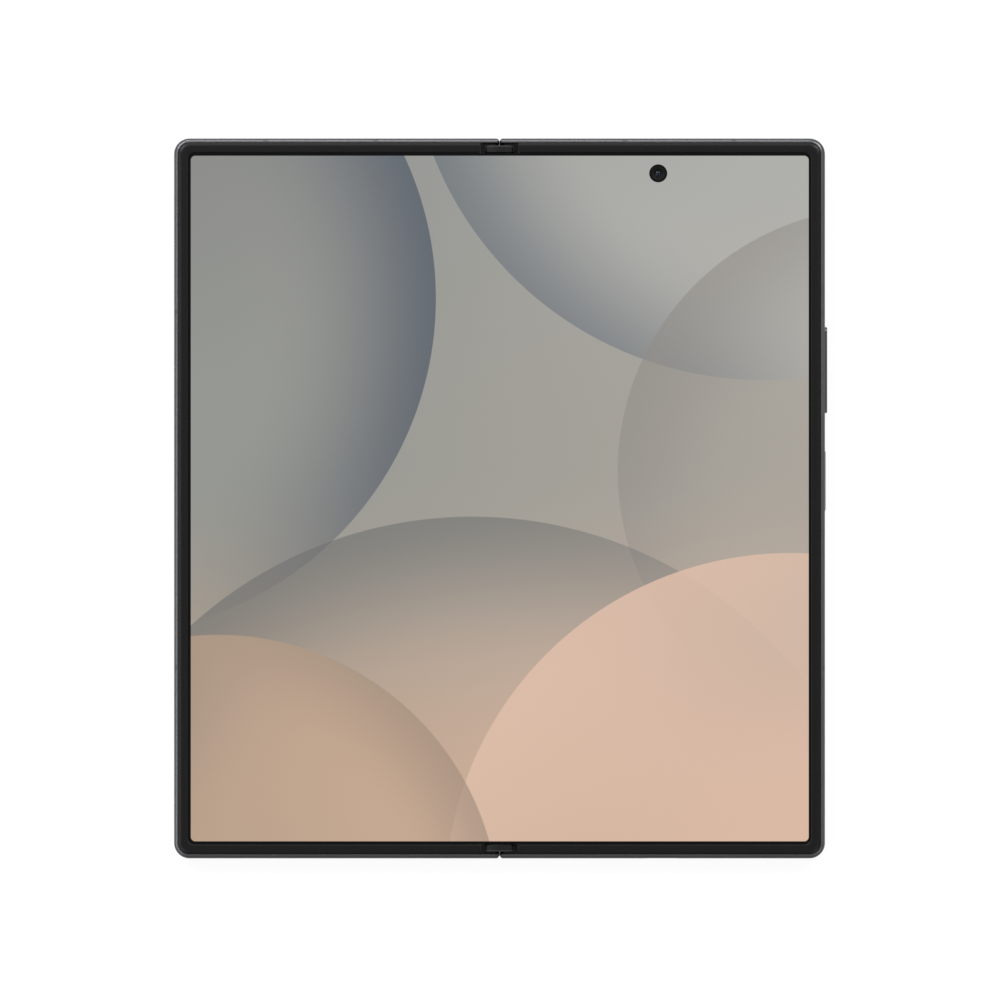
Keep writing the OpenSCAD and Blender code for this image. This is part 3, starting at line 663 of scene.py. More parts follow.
@dataclass(frozen=True)
class ChargingPort(Finish):
    """A drawn steel shell round a black tongue with gold contacts."""

    name: str = "charging port"
    middle: tuple[float, float] = (35.8, 4.275)
    tongue: tuple[float, float] = (3.4, 0.42)
    mouth: float = -78.45
    pitch: float = 0.5

    def draw(self, graph: Graph) -> None:
        """The tongue by its place inside the shell, with twelve contacts across it.

        Args:
            graph: The material's graph.
        """
        x, y, z = graph.spot()
        dx = x - self.middle[0]
        dz = abs(z - self.middle[1])
        half_x, half_z = self.tongue
        tongue = abs(dx).between(half_x + 0.05, half_x) * dz.between(half_z + 0.05, half_z)
        strips = abs((dx + self.pitch / 2).repeat(self.pitch)).between(0.15, 0.12)
        inside = y.between(self.mouth + 0.5, self.mouth + 0.55)
        gold = strips * inside * dz.between(half_z - 0.16, half_z - 0.12)
        lines = graph.noise(graph.stretch(graph.place(), BRUSHED_X), 1.0, 3.0, 0.6)
        steel = graph.mix(lines, (0.36, 0.36, 0.37), (0.48, 0.48, 0.49))
        inner = graph.mix(gold, (0.012, 0.012, 0.013), (0.75, 0.52, 0.22))
        graph.surface(
            Base_Color=graph.mix(tongue, steel, inner),
            Metallic=(1.0 - tongue).most(gold),
            Roughness=0.26 + lines * 0.1 + tongue * 0.12,
            Normal=graph.edges(0.05 * MM),
        )


@dataclass(frozen=True)
class PrintedBoard(Finish):
    """Circuit board: solder mask over tracks, gold pads and small dark parts."""

    name: str
    mask: Colour = (0.008, 0.03, 0.02)

    def draw(self, graph: Graph) -> None:
        """Tracks, pads and vias at a real scale.

        Args:
            graph: The material's graph.
        """
        place = graph.place()
        x, y, _ = graph.spot()
        jog = graph.noise(place, 260, 0.0) * 18.0
        tracks = ((x + y) * 7.0 + jog).wave().between(0.55, 0.8)
        zones = graph.noise(place, 180, 1.0).between(0.5, 0.54)
        cell_x = abs(x.repeat(1.27))
        cell_y = abs(y.repeat(1.9))
        padded = graph.noise(place, 130, 0.0).between(0.52, 0.56)
        filled = graph.noise(place, 110, 0.0).between(0.5, 0.46)
        pads = cell_x.between(0.3, 0.26) * cell_y.between(0.45, 0.41) * padded
        chips = cell_x.between(0.5, 0.47) * cell_y.between(0.7, 0.67) * filled
        tone = graph.mix(tracks * zones, self.mask, tinted(self.mask, 2.0))
        tone = graph.mix(chips, tone, (0.008, 0.008, 0.009))
        tone = graph.mix(pads, tone, (0.75, 0.5, 0.2))
        graph.surface(
            Base_Color=tone,
            Metallic=pads,
            Roughness=0.38 - pads * 0.1 + chips * 0.1,
            Normal=graph.bump(tracks * 0.3 + pads * 0.6 + chips, 0.03 * MM, graph.edges(0.05 * MM)),
        )


@dataclass(frozen=True)
class CellWrap(Finish):
    """The foil pouch of a battery under a matte film, with faint creases."""

    name: str = "battery film"
    colour: Colour = (0.02, 0.02, 0.022)

    def draw(self, graph: Graph) -> None:
        """Soft creases and a slight sheen."""
        creases = graph.noise(graph.stretch(graph.place(), (1.0, 2.2, 1.0)), 130, 4.0, 0.55)
        graph.surface(
            Base_Color=graph.mix(creases, self.colour, tinted(self.colour, 1.7)),
            Metallic=0.3,
            Roughness=0.35 + creases * 0.15,
            Normal=graph.bump(creases, 0.08 * MM, graph.edges(0.3 * MM)),
        )


@dataclass(frozen=True)
class WoundCopper(Finish):
    """The flat charging coil: bonded copper turns under a clear varnish."""

    name: str = "coil copper"
    turn: float = 0.55

    def draw(self, graph: Graph) -> None:
        """Round turns about the coil's own middle.

        Args:
            graph: The material's graph.
        """
        x, y, _ = graph.spot()
        low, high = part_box("charging_coil")
        middle = (low + high) / 2 / MM
        radius = graph.far(graph.join(x, y), (middle.x, middle.y, 0.0))
        turns = (radius * (math.tau / self.turn)).wave()
        tone = graph.noise(graph.place(), 700, 2.0)
        graph.surface(
            Base_Color=graph.mix(turns * 0.8 + tone * 0.2, (0.16, 0.05, 0.02), (0.62, 0.26, 0.11)),
            Metallic=0.9,
            Roughness=0.28 + tone * 0.1,
            Normal=graph.bump(turns, 0.12 * MM),
        )


@dataclass(frozen=True)
class CableFilm(Finish):
    """Polyimide ribbon with its copper tracks showing through."""

    name: str = "ribbon cable film"
    pitch: float = 0.45

    def draw(self, graph: Graph) -> None:
        """Tracks run across the hinge.

        Args:
            graph: The material's graph.
        """
        tracks = (graph.spot()[1] * (math.tau / self.pitch)).wave().between(0.35, 0.65)
        tone = graph.noise(graph.place(), 300, 2.0)
        amber = graph.mix(tone, (0.24, 0.1, 0.02), (0.32, 0.14, 0.03))
        graph.surface(
            Base_Color=graph.mix(tracks, amber, (0.42, 0.2, 0.06)),
            Roughness=0.25 + tone * 0.1,
            Normal=graph.bump(tracks, 0.02 * MM),
        )


@dataclass(frozen=True)
class FlashLens(Finish):
    """Clear ribbed lens over a yellow emitter."""

    name: str = "flash lens"
    pitch: float = 0.32

    def draw(self, graph: Graph) -> None:
        """Rings of a stepped lens, brighter over the emitter's two squares.

        Args:
            graph: The material's graph.
        """
        x, y, _ = graph.spot()
        dx = x - FLASH_X / MM
        dy = y - FLASH_Y / MM
        radius = graph.far(graph.join(dx, dy))
        rings = (radius * (math.tau / self.pitch)).wave()
        square = abs(dx).between(0.95, 0.8) * abs(abs(dy) - 0.55).between(0.48, 0.36)
        shell = graph.mix(radius.between(1.0, 2.2), (0.6, 0.59, 0.53), (0.45, 0.45, 0.44))
        graph.surface(
            Base_Color=graph.mix(square, shell, (0.62, 0.46, 0.1)),
            Roughness=0.12 + rings * 0.1,
            Coat_Weight=0.6,
            Coat_Roughness=0.05,
            Normal=graph.bump(rings, 0.05 * MM),
        )


@dataclass(frozen=True)
class Disc:
    """One large round form in the picture on the display, in millimetres."""

    x: float
    y: float
    radius: float
    tone: Colour
    strength: float
    fade: float
    lean: tuple[float, float]


@dataclass(frozen=True)
class DisplayPicture(Finish):
    """The lit display: soft round forms inside the lit area, black glass outside it."""

    name: str = "display glass"
    span: float = 160.0
    low: tuple[float, float] = (-67.9, -75.4)
    high: tuple[float, float] = (67.99, 75.37)
    corner: float = 1.0
    eye_r: float = 1.98
    soft: float = 0.04
    top: tuple[Colour, Colour] = (rgb("8b8c89"), rgb("adada9"))
    middle: tuple[Colour, Colour] = (rgb("949691"), rgb("a9a39a"))
    bottom: tuple[Colour, Colour] = (rgb("b9a08a"), rgb("dab9a4"))
    discs: tuple[Disc, ...] = (
        Disc(-88, 44, 74, rgb("59616c"), 0.9, 0.46, (0.97, 0.1)),
        Disc(58, 104, 78, rgb("c2c2be"), 0.45, -0.4, (-0.2, -0.98)),
        Disc(58, 104, 78, rgb("5f6872"), 0.72, 0.6, (-0.86, -0.5)),
        Disc(84, 6, 58, rgb("8f8b86"), 0.62, 0.3, (-0.82, 0.57)),
        Disc(-6, -96, 92, rgb("6f706f"), 0.7, 0.62, (-0.45, 0.89)),
        Disc(64, -88, 76, rgb("e0bfaa"), 0.8, -0.8, (-0.6, 0.8)),
        Disc(-62, -92, 62, rgb("c8a78c"), 0.6, -0.2, (0.5, 0.86)),
        Disc(-62, -92, 62, rgb("7f7770"), 0.45, 0.66, (0.93, 0.36)),
    )

    def lit(self, graph: Graph, point: Value) -> Value:
        """The lit area as a mask, by the distance to a rounded rectangle.

        Args:
            graph: The material's graph.
            point: The place on the display in millimetres.

        Returns:
            1 inside the lit area and 0 outside it.
        """
        x, y, _ = graph.split(point)
        middle = [(a + b) / 2 for a, b in zip(self.low, self.high)]
        half = [(b - a) / 2 - self.corner for a, b in zip(self.low, self.high)]
        dx = abs(x - middle[0]) - half[0]
        dy = abs(y - middle[1]) - half[1]
        outside = graph.far(graph.join(dx.most(0.0), dy.most(0.0))) + dx.most(dy).least(0.0)
        eye = graph.far(point, (EYE_X / MM, EYE_Y / MM, 0.0))
        soft = self.soft
        clear = eye.between(self.eye_r - soft, self.eye_r + soft)
        return clear * outside.between(self.corner + soft, self.corner - soft)

    def add_disc(self, graph: Graph, point: Value, under: Value, disc: Disc) -> Value:
        """Lays one round form over the picture.

        Args:
            graph: The material's graph.
            point: The place on the display in millimetres.
            under: The picture so far.
            disc: The form, crisp at its rim on the side it leans to and faded inwards.

        Returns:
            The picture with the form in it.
        """
        distance = graph.far(point, (disc.x, disc.y, 0.0)) / disc.radius
        soft = 0.1 / disc.radius
        inside = distance.between(1.0 + soft, 1.0 - soft)
        depth = distance.between(disc.fade, 1.04)
        x, y, _ = graph.split(point)
        side = (x - disc.x) * (disc.lean[0] / disc.radius) + (y - disc.y) * (disc.lean[1] / disc.radius)
        return graph.mix(inside * depth * side.between(0.05, 1.0) * disc.strength, under, disc.tone)

    def draw(self, graph: Graph) -> None:
        """The picture glows; the glass itself is black and smooth.

        Args:
            graph: The material's graph.
        """
        spot = graph.value("ShaderNodeUVMap", {"uv_map": DisplayPanel.UV_NAME})
        u, v, _ = graph.split(spot)
        x = (u - 0.5) * self.span
        y = (v - 0.5) * self.span
        point = graph.join(x, y)
        across = x.between(-80.0, 80.0)
        upper = graph.mix(across, *self.top)
        centre = graph.mix(across, *self.middle)
        lower = graph.mix(across, *self.bottom)
        picture = graph.mix(y.between(-70.0, 8.0), lower, centre)
        picture = graph.mix(y.between(10.0, 80.0), picture, upper)
        for disc in self.discs:
            picture = self.add_disc(graph, point, picture, disc)
        lit = self.lit(graph, point)
        smear = graph.noise(point, 0.05, 3.0)
        graph.surface(
            Base_Color=graph.mix(lit, (0.0012, 0.0012, 0.0013), (0.002, 0.002, 0.0021)),
            Roughness=0.13 + smear * 0.04,
            Specular_IOR_Level=0.3,
            Emission_Color=graph.mix(lit, (0.0, 0.0, 0.0), picture),
            Emission_Strength=1.0,
        )


@dataclass(frozen=True)
class Outline:
    """A closed loop at one height: a rounded rectangle, or a circle where its three sizes match."""

    half_x: float
    half_y: float
    radius: float
    z: float

    @classmethod
    def face(cls, inset: float, radius: float, z: float) -> "Outline":
        """The phone's open outline set inwards, with corners of a given radius."""
        return cls(HALF_W - inset, HALF_H - inset, radius, z)

    @property
    def round_(self) -> bool:
        """Whether this is a circle."""
        return self.half_x == self.half_y == self.radius


class Bench:
    """Modelling with Blender's own tools, one object at a time."""

    SPREAD = 10 * MM
    DRILL_LENGTH = 6 * MM
    NEAR = 0.01 * MM

    @staticmethod
    def clear() -> None:
        """Leaves edit mode and selects nothing."""
        if bpy.context.object and bpy.context.object.mode != "OBJECT":
            bpy.ops.object.mode_set(mode="OBJECT")
        bpy.ops.object.select_all(action="DESELECT")

    @classmethod
    def pick(cls, piece: Piece) -> None:
        """Makes a piece the only one selected, and active.

        Args:
            piece: The piece.
        """
        cls.clear()
        piece.select_set(True)
        bpy.context.view_layer.objects.active = piece

    @classmethod
    def edit(cls, piece: Piece, mode: str = "VERT") -> None:
        """Opens a piece in edit mode with all of it selected.

        Args:
            piece: The piece.
            mode: VERT, EDGE or FACE.
        """
        cls.pick(piece)
        bpy.ops.object.mode_set(mode="EDIT")
        bpy.ops.mesh.select_mode(type=mode)
        bpy.ops.mesh.select_all(action="SELECT")

    @staticmethod
    def done() -> None:
        """Closes edit mode."""
        bpy.ops.object.mode_set(mode="OBJECT")

    @classmethod
    def choose(cls, piece: Piece, wanted: Callable[[Vector], bool], part: str = "FACE") -> int:
        """Opens a piece with only some of it selected.

        Args:
            piece: The piece to open.
            wanted: Says by its middle whether a vertex, edge or face is selected.
            part: VERT, EDGE or FACE.

        Returns:
            How many were selected.
        """
        cls.edit(piece, part)
        bpy.ops.mesh.select_all(action="DESELECT")
        cls.done()
        mesh = piece.data
        count = 0
        items = {"VERT": mesh.vertices, "EDGE": mesh.edges, "FACE": mesh.polygons}[part]
        for item in items:
            if part == "VERT":
                middle = item.co
            else:
                middle = sum((mesh.vertices[i].co for i in item.vertices), Vector()) / len(item.vertices)
            if wanted(middle):
                item.select = True
                count += 1
        bpy.ops.object.mode_set(mode="EDIT")
        return count

    @classmethod
    def ring(cls, outline: Outline, steps: int) -> Piece:
        """Makes one loop of edges.

        Args:
            outline: Its size and height.
            steps: Edges in each corner, or in a quarter of a circle.

        Returns:
            An object with the loop alone.
        """
        cls.clear()
        if outline.round_:
            bpy.ops.mesh.primitive_circle_add(vertices=4 * steps, radius=outline.radius)
            ring = bpy.context.object
            cls.edit(ring)
        else:
            bpy.ops.mesh.primitive_plane_add(size=2)
            ring = bpy.context.object
            cls.edit(ring)
            bpy.ops.transform.resize(value=(outline.half_x, outline.half_y, 1))
            bpy.ops.mesh.bevel(
                offset=outline.radius, segments=steps, profile=0.5, affect="VERTICES", clamp_overlap=False
            )
            bpy.ops.mesh.select_all(action="SELECT")
            bpy.ops.mesh.delete(type="ONLY_FACE")
            bpy.ops.mesh.select_all(action="SELECT")
        bpy.ops.transform.translate(value=(0, 0, outline.z))
        cls.done()
        return ring

    @classmethod
    def loft(cls, name: str, outlines: Sequence[Outline], steps: int = 10, hollow: bool = False) -> Piece:
        """Bridges loops into a solid skin.

        Args:
            name: The piece's name.
            outlines: The loops in order along the section.
            steps: Edges in each corner, or in a quarter of a circle.
            hollow: Joins the last loop to the first, instead of closing both with a face.

        Returns:
            The new piece.
        """
        rings = [cls.ring(outline, steps) for outline in outlines]
        for number, ring in enumerate(rings):
            group = ring.vertex_groups.new(name=f"loop{number}")
            group.add(range(len(ring.data.vertices)), 1.0, "REPLACE")
            cls.move(ring, (0, 0, number * cls.SPREAD))
        cls.clear()
        for ring in rings:
            ring.select_set(True)
        piece = rings[0]
        bpy.context.view_layer.objects.active = piece
        bpy.ops.object.join()
        piece.name = piece.data.name = name
        count = len(outlines)
        pairs = [(i, i + 1) for i in range(count - 1)] + ([(count - 1, 0)] if hollow else [])
        cls.edit(piece)
        for pair in pairs:
            cls.select_loops(piece, pair)
            bpy.ops.mesh.bridge_edge_loops()
        if not hollow:
            for end in (0, count - 1):
                cls.select_loops(piece, (end,))
                bpy.ops.mesh.edge_face_add()
        for number in range(count):
            cls.select_loops(piece, (number,))
            bpy.ops.transform.translate(value=(0, 0, -number * cls.SPREAD))
        cls.close()
        piece.vertex_groups.clear()
        return piece

    @staticmethod
    def select_loops(piece: Piece, numbers: Sequence[int]) -> None:
        """Selects loops by number while the piece is open.

        Args:
            piece: The open piece.
            numbers: The loops' numbers.
        """
        bpy.ops.mesh.select_mode(type="VERT")
        bpy.ops.mesh.select_all(action="DESELECT")
        for number in numbers:
            piece.vertex_groups.active_index = piece.vertex_groups[f"loop{number}"].index
            bpy.ops.object.vertex_group_select()

    @classmethod
    def turn(
        cls, name: str, profile: Sequence[tuple[float, float]], steps: int = 16, hollow: bool = False
    ) -> Piece:
        """A round piece about the z axis, by the radius and height along its section."""
        return cls.loft(name, [Outline(r, r, r, z) for r, z in profile], steps, hollow)

    @classmethod
    def close(cls) -> None:
        """Turns all faces of the open piece outwards and closes edit mode."""
        bpy.ops.mesh.select_all(action="SELECT")
        bpy.ops.mesh.normals_make_consistent(inside=False)
        cls.done()

    @classmethod
    def strip(cls, name: str, size: Point, cells: tuple[int, int], place: Point) -> Piece:
        """Makes a flat strip in cells, which can bend.

        Args:
            name: The piece's name.
            size: Its length, width and thickness.
            cells: Cells along and across it.
            place: The middle of its lower face.

        Returns:
            The new piece.
        """
        cls.clear()
        bpy.ops.mesh.primitive_grid_add(x_subdivisions=cells[0], y_subdivisions=cells[1], size=1)
        piece = bpy.context.object
        piece.name = piece.data.name = name
        cls.edit(piece)
        bpy.ops.transform.resize(value=(size[0], size[1], 1))
        bpy.ops.transform.translate(value=place)
        bpy.ops.mesh.extrude_region_move(TRANSFORM_OT_translate={"value": (0, 0, size[2])})
        cls.close()
        return piece

    @classmethod
    def raise_columns(cls, piece: Piece, length: float, columns: int, rise: Callable[[float], float]) -> None:
        """Raises each column of a strip.

        Args:
            piece: The strip, with its near end at the seam.
            length: How far it reaches from the seam.
            columns: How many columns it has.
            rise: How far a column goes up, by its distance from the seam.
        """
        for column in range(columns + 1):
            x = column / columns * length
            cls.choose(piece, lambda p, x=x: abs(abs(p.x) - x) < cls.NEAR, "VERT")
            bpy.ops.transform.translate(value=(0, 0, rise(x)))
            cls.done()

    @classmethod
    def cut(cls, piece: Piece, side: "Side", x: float) -> None:
        """Drops what lies nearer the seam than x on one side, and closes the cut.

        Args:
            piece: The piece.
            side: The half that it lies in.
            x: How far the cut is from the seam.
        """
        cls.edit(piece)
        bpy.ops.mesh.bisect(
            plane_co=(side.value * x, 0, 0), plane_no=(-side.value, 0, 0), use_fill=True, clear_outer=True
        )
        cls.close()

    @classmethod
    def bore(cls, piece: Piece, place: Point, radius: float, vertices: int) -> None:
        """Drills a round hole along z.

        Args:
            piece: The piece.
            place: The middle of the drill.
            radius: The hole's radius.
            vertices: Edges round the hole.
        """
        cls.clear()
        bpy.ops.mesh.primitive_cylinder_add(
            vertices=vertices, radius=radius, depth=cls.DRILL_LENGTH, location=place
        )
        drill = bpy.context.object
        cls.pick(piece)
        hole = piece.modifiers.new("hole", "BOOLEAN")
        hole.object = drill
        hole.operation = "DIFFERENCE"
        hole.solver = "EXACT"
        bpy.ops.object.modifier_apply(modifier=hole.name)
        bpy.data.objects.remove(drill, do_unlink=True)

    @classmethod
    def move(
        cls, piece: Piece, place: tuple[float, ...] = (0, 0, 0), turn: tuple[float, ...] = (0, 0, 0)
    ) -> None:
        """Turns a piece about the origin, moves it, and puts both into its mesh.

        Args:
            piece: The piece.
            place: How far it moves.
            turn: How far it turns, in radians.
        """
        cls.pick(piece)
        piece.rotation_euler = turn
        piece.location = place
        bpy.ops.object.transform_apply(location=True, rotation=True, scale=True)

    @classmethod
    def copy(cls, piece: Piece, name: str, place: tuple[float, ...]) -> Piece:
        """Makes a second piece with its own mesh.

        Args:
            piece: The first piece.
            name: The second piece's name.
            place: How far it is moved.

        Returns:
            The second piece.
        """
        cls.pick(piece)
        bpy.ops.object.duplicate()
        made = bpy.context.object
        made.name = made.data.name = name
        cls.move(made, place)
        return made

    @classmethod
    def merge(cls, name: str, pieces: Sequence[Piece]) -> Piece:
        """Joins pieces of one solid into one object.

        Args:
            name: The name of the whole.
            pieces: The pieces, of which the first is kept.

        Returns:
            The joined piece.
        """
        cls.clear()
        for piece in pieces:
            piece.select_set(True)
        bpy.context.view_layer.objects.active = pieces[0]
        bpy.ops.object.join()
        pieces[0].name = pieces[0].data.name = name
        return pieces[0]

    @classmethod
    def ease(cls, piece: Piece, width: float, angle: float = 50.0, steps: int = 2) -> None:
        """Rounds the sharp edges of a piece.

        Args:
            piece: The piece.
            width: The rounding's width.
            angle: Edges sharper than this many degrees are rounded.
            steps: Faces across the rounding.
        """
        cls.pick(piece)
        bevel = piece.modifiers.new("ease", "BEVEL")
        bevel.width = width
        bevel.segments = steps
        bevel.limit_method = "ANGLE"
        bevel.angle_limit = math.radians(angle)
        bpy.ops.object.modifier_apply(modifier=bevel.name)

    @classmethod
    def smooth(cls, piece: Piece, angle: float = 40.0) -> Piece:
        """Shades a piece smooth over shallow edges, with flat faces kept flat.

        Args:
            piece: The piece.
            angle: Edges up to this many degrees are smooth.

        Returns:
            The same piece.
        """
        cls.pick(piece)
        bpy.ops.object.shade_smooth_by_angle(angle=math.radians(angle))
        weight = piece.modifiers.new("weight", "WEIGHTED_NORMAL")
        weight.keep_sharp = True
        bpy.ops.object.modifier_apply(modifier=weight.name)
        return piece

    @classmethod
    def rework(cls, node: Piece, name: str) -> Piece:
        """Copies a CAD node, merges its loose triangles and makes its flat faces whole.

        Args:
            node: The CAD node.
            name: The copy's name.

        Returns:
            The copy, tied to nothing yet.
        """
        made = node.copy()
        made.data = node.data.copy()
        for key in list(made.keys()):
            if key.startswith("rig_"):
                del made[key]
        made.parent = None
        made.name = made.data.name = name
        bpy.context.scene.collection.objects.link(made)
        cls.pick(made)
        bpy.ops.mesh.customdata_custom_splitnormals_clear()
        cls.edit(made)
        bpy.ops.mesh.remove_doubles(threshold=0.001 * MM)
        bpy.ops.mesh.dissolve_limited(angle_limit=math.radians(0.5))
        cls.done()
        return made


class Side(Enum):
    """The two halves of the phone, seen from the front."""

    RIGHT = 1
    LEFT = -1

    @property
    def body(self) -> str:
        """The CAD body of this half."""
        return "main_half" if self is Side.RIGHT else "cover_half"

    @property
    def label(self) -> str:
        """The half's name in the names of pieces."""
        return self.name.lower()


def seat(piece: Piece, body: str, slot: str, *replaced: str) -> None:
    """Ties a finished piece to the frame.

    Args:
        piece: The piece, in place.
        body: The CAD body that it rides on.
        slot: The record's material slot; not used.
        replaced: CAD nodes that it stands for.
    """
    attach(piece, body)
    if replaced:
        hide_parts(*replaced)
    log.info("%s: %d faces on %s", piece.name, len(piece.data.polygons), body)


def hinge(piece: Piece, side: Side, start: float, end: float, slot: str, replaced: str) -> None:
    """Ties a finished piece to one half and the spine, so that it bends between them.

    Args:
        piece: The piece, in place.
        side: The half that it reaches into.
        start: How far from the seam it stops following the half.
        end: How far from the seam it follows the spine alone.
        slot: The record's material slot; not used.
        replaced: The CAD node that it stands for.
    """
    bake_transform(piece, side.body, "spine", start=(side.value * start, 0, 0), end=(side.value * end, 0, 0))
    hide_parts(replaced)
    log.info("%s: bends from %s to the spine", piece.name, side.body)


@dataclass
class DisplayPanel:
    """The folding display: a stiff panel in each half and a bending strip between them."""

    UV_NAME = "picture"

    inset: float = 2.2 * MM
    corner: float = 1.2 * MM
    bend_x: float = 4.3 * MM
    curl_x: float = 2.45 * MM
    fold_half: float = 75.9 * MM
    columns: int = 28
    crease: float = 0.04 * MM
    eye_d: float = 3.75 * MM
    rim: float = 0.05 * MM
    finish: DisplayPicture = field(default_factory=DisplayPicture)

    def map_picture(self, piece: Piece) -> None:
        """Writes the place on the open display as the piece's own map.

        Args:
            piece: A panel or a strip.
        """
        mesh = piece.data
        layer = mesh.uv_layers.get(self.UV_NAME) or mesh.uv_layers.new(name=self.UV_NAME)
        scale = self.finish.span * MM
        for loop in mesh.loops:
            spot = mesh.vertices[loop.vertex_index].co
            layer.data[loop.index].uv = (spot.x / scale + 0.5, spot.y / scale + 0.5)

    def stiff(self, side: Side) -> Piece:
        """Builds one stiff panel, with the camera's hole in the right one.

        Args:
            side: The half that it is in.

        Returns:
            The panel, in place.
        """
        piece = Bench.loft(
            f"display_face_{side.label}",
            [
                Outline.face(self.inset, self.corner, PANEL_BOTTOM),
                Outline.face(self.inset, self.corner, PANEL_TOP - self.rim),
                Outline.face(self.inset + self.rim, self.corner - self.rim, PANEL_TOP),
            ],
        )
        Bench.cut(piece, side, self.bend_x)
        if side is Side.RIGHT:
            Bench.bore(piece, (EYE_X, EYE_Y, PANEL_TOP), self.eye_d / 2, 64)
        return Bench.smooth(piece, 30)

    def strip(self, side: Side) -> Piece:
        """Builds half of the bending strip, in narrow columns, with a shallow dip along the fold.

        Args:
            side: The half that it reaches into.

        Returns:
            The strip, in place.
        """
        size = (self.bend_x, 2 * self.fold_half, PANEL_TOP - PANEL_BOTTOM)
        place = (side.value * self.bend_x / 2, 0, PANEL_BOTTOM)
        piece = Bench.strip(f"display_fold_{side.label}", size, (self.columns, 6), place)
        Bench.raise_columns(
            piece,
            self.bend_x,
            self.columns,
            lambda x: -self.crease * (1 + math.cos(math.pi * x / self.bend_x)) / 2,
        )
        return Bench.smooth(piece, 30)

    def build(self) -> None:
        """Makes both panels and both halves of the strip."""
        for side in Side:
            panel = self.stiff(side)
            strip = self.strip(side)
            for piece in (panel, strip):
                self.map_picture(piece)
                self.finish.dress(piece)
            seat(panel, side.body, "display_panel", f"display_{side.label}")
            hinge(strip, side, self.curl_x, 0.0, "display_panel", "display_fold")


@dataclass
class BezelTrim:
    """The raised rubber frame round the display, one open frame in each half."""

    end_x: float = 4.1 * MM
    end_lean: float = 7.0
    rounding: float = 0.09 * MM
    section: tuple[tuple[float, float, float], ...] = (
        (0.95, 2.45, 3.61),
        (0.95, 2.45, 3.955),
        (0.99, 2.41, 3.985),
        (1.12, 2.3, 4.035),
        (1.42, 2.07, 4.145),
        (1.56, 2.01, 4.185),
        (1.75, 1.95, 4.2),
        (2.85, 1.6, 4.2),
        (3.0, 1.53, 4.175),
        (3.08, 1.5, 4.12),
        (3.1, 1.5, 4.05),
        (3.1, 1.5, 3.972),
        (2.15, 1.25, 3.972),
        (2.15, 1.25, 3.61),
    )
    finish: Finish = MouldedPlastic("bezel rubber", (0.003, 0.003, 0.0031), 0.37, 0.16, 0.005 * MM)

    def build_half(self, side: Side) -> Piece:
        """Builds one half's frame and leans its ends as the real ones lean.

        Args:
            side: The half that it is on.

        Returns:
            The frame, in place.
        """
        piece = Bench.loft(
            f"bezel_trim_{side.label}",
            [Outline.face(inset * MM, radius * MM, LIFT + z * MM) for inset, radius, z in self.section],
            hollow=True,
        )
        Bench.cut(piece, side, self.end_x)
        outer = HALF_H - self.section[0][0] * MM
        near = self.end_x + Bench.NEAR
        for end in (1, -1):
            Bench.choose(piece, lambda p, end=end: abs(p.x) < near and p.y * end > 0, "VERT")
            bpy.ops.transform.rotate(
                value=math.radians(-end * side.value * self.end_lean),
                orient_axis="Z",
                center_override=(side.value * self.end_x, end * outer, 0),
            )
            Bench.done()
        Bench.ease(piece, self.rounding, 55)
        return Bench.smooth(piece, 40)

    def build(self) -> None:
        """Makes the frames of both halves."""
        for side in Side:
            piece = self.build_half(side)
            self.finish.dress(piece)
            seat(piece, side.body, "bezel_rubber", f"bezel_{side.label}")


@dataclass
class SeamGaskets:
    """Rubber lips on the two frames' seam faces, which keep light and dust out of the joint."""

    seam_x: float = 0.1 * MM
    thick: float = 0.09 * MM
    low: float = LIFT + 0.1 * MM
    high: float = LIFT + 0.8 * MM
    start: float = 77.75 * MM
    end: float = 78.75 * MM
    edge: float = 0.03 * MM

    def build(self, finish: Finish) -> None:
        """Makes a lip at each end of each half, rounded where the two lips meet.

        Args:
            finish: The lips' finish.
        """
        half, edge = (self.high - self.low) / 2, self.edge
        long = (self.end - self.start) / 2
        for side in Side:
            lips = []
            for end in (1, -1):
                lip = Bench.loft(
                    "lip",
                    [
                        Outline(half, long, edge, 0.0),
                        Outline(half, long, edge, self.thick * 0.5),
                        Outline(half - edge, long - edge, edge * 0.67, self.thick),
                    ],
                    steps=3,
                )
                Bench.move(lip, turn=(0, -side.value * math.pi / 2, 0))
                middle = end * (self.start + self.end) / 2
                Bench.move(lip, (side.value * self.seam_x, middle, (self.low + self.high) / 2))
                lips.append(lip)
            piece = Bench.smooth(Bench.merge(f"seam_gasket_{side.label}", lips), 35)
            finish.dress(piece)
            seat(piece, side.body, "bezel_rubber")


@dataclass
class HingeCaps:
    """Caps that close the two ends of the spine."""

    node: str = "hinge_end_caps"
    rounding: float = 0.16 * MM
    finish: Finish = CapPlastic()

    def build(self, nodes: Mapping[str, Piece]) -> None:
        """Eases the caps' edges so that their outer rim catches the light, helped by a painted highlight in
        the caps' finish.

        Args:
            nodes: The CAD nodes by name.
        """
        piece = Bench.rework(nodes[self.node], "hinge_caps")
        Bench.ease(piece, self.rounding, 50, 3)
        Bench.smooth(piece, 35)
        self.finish.dress(piece)
        seat(piece, "spine", "module_plastic", self.node)


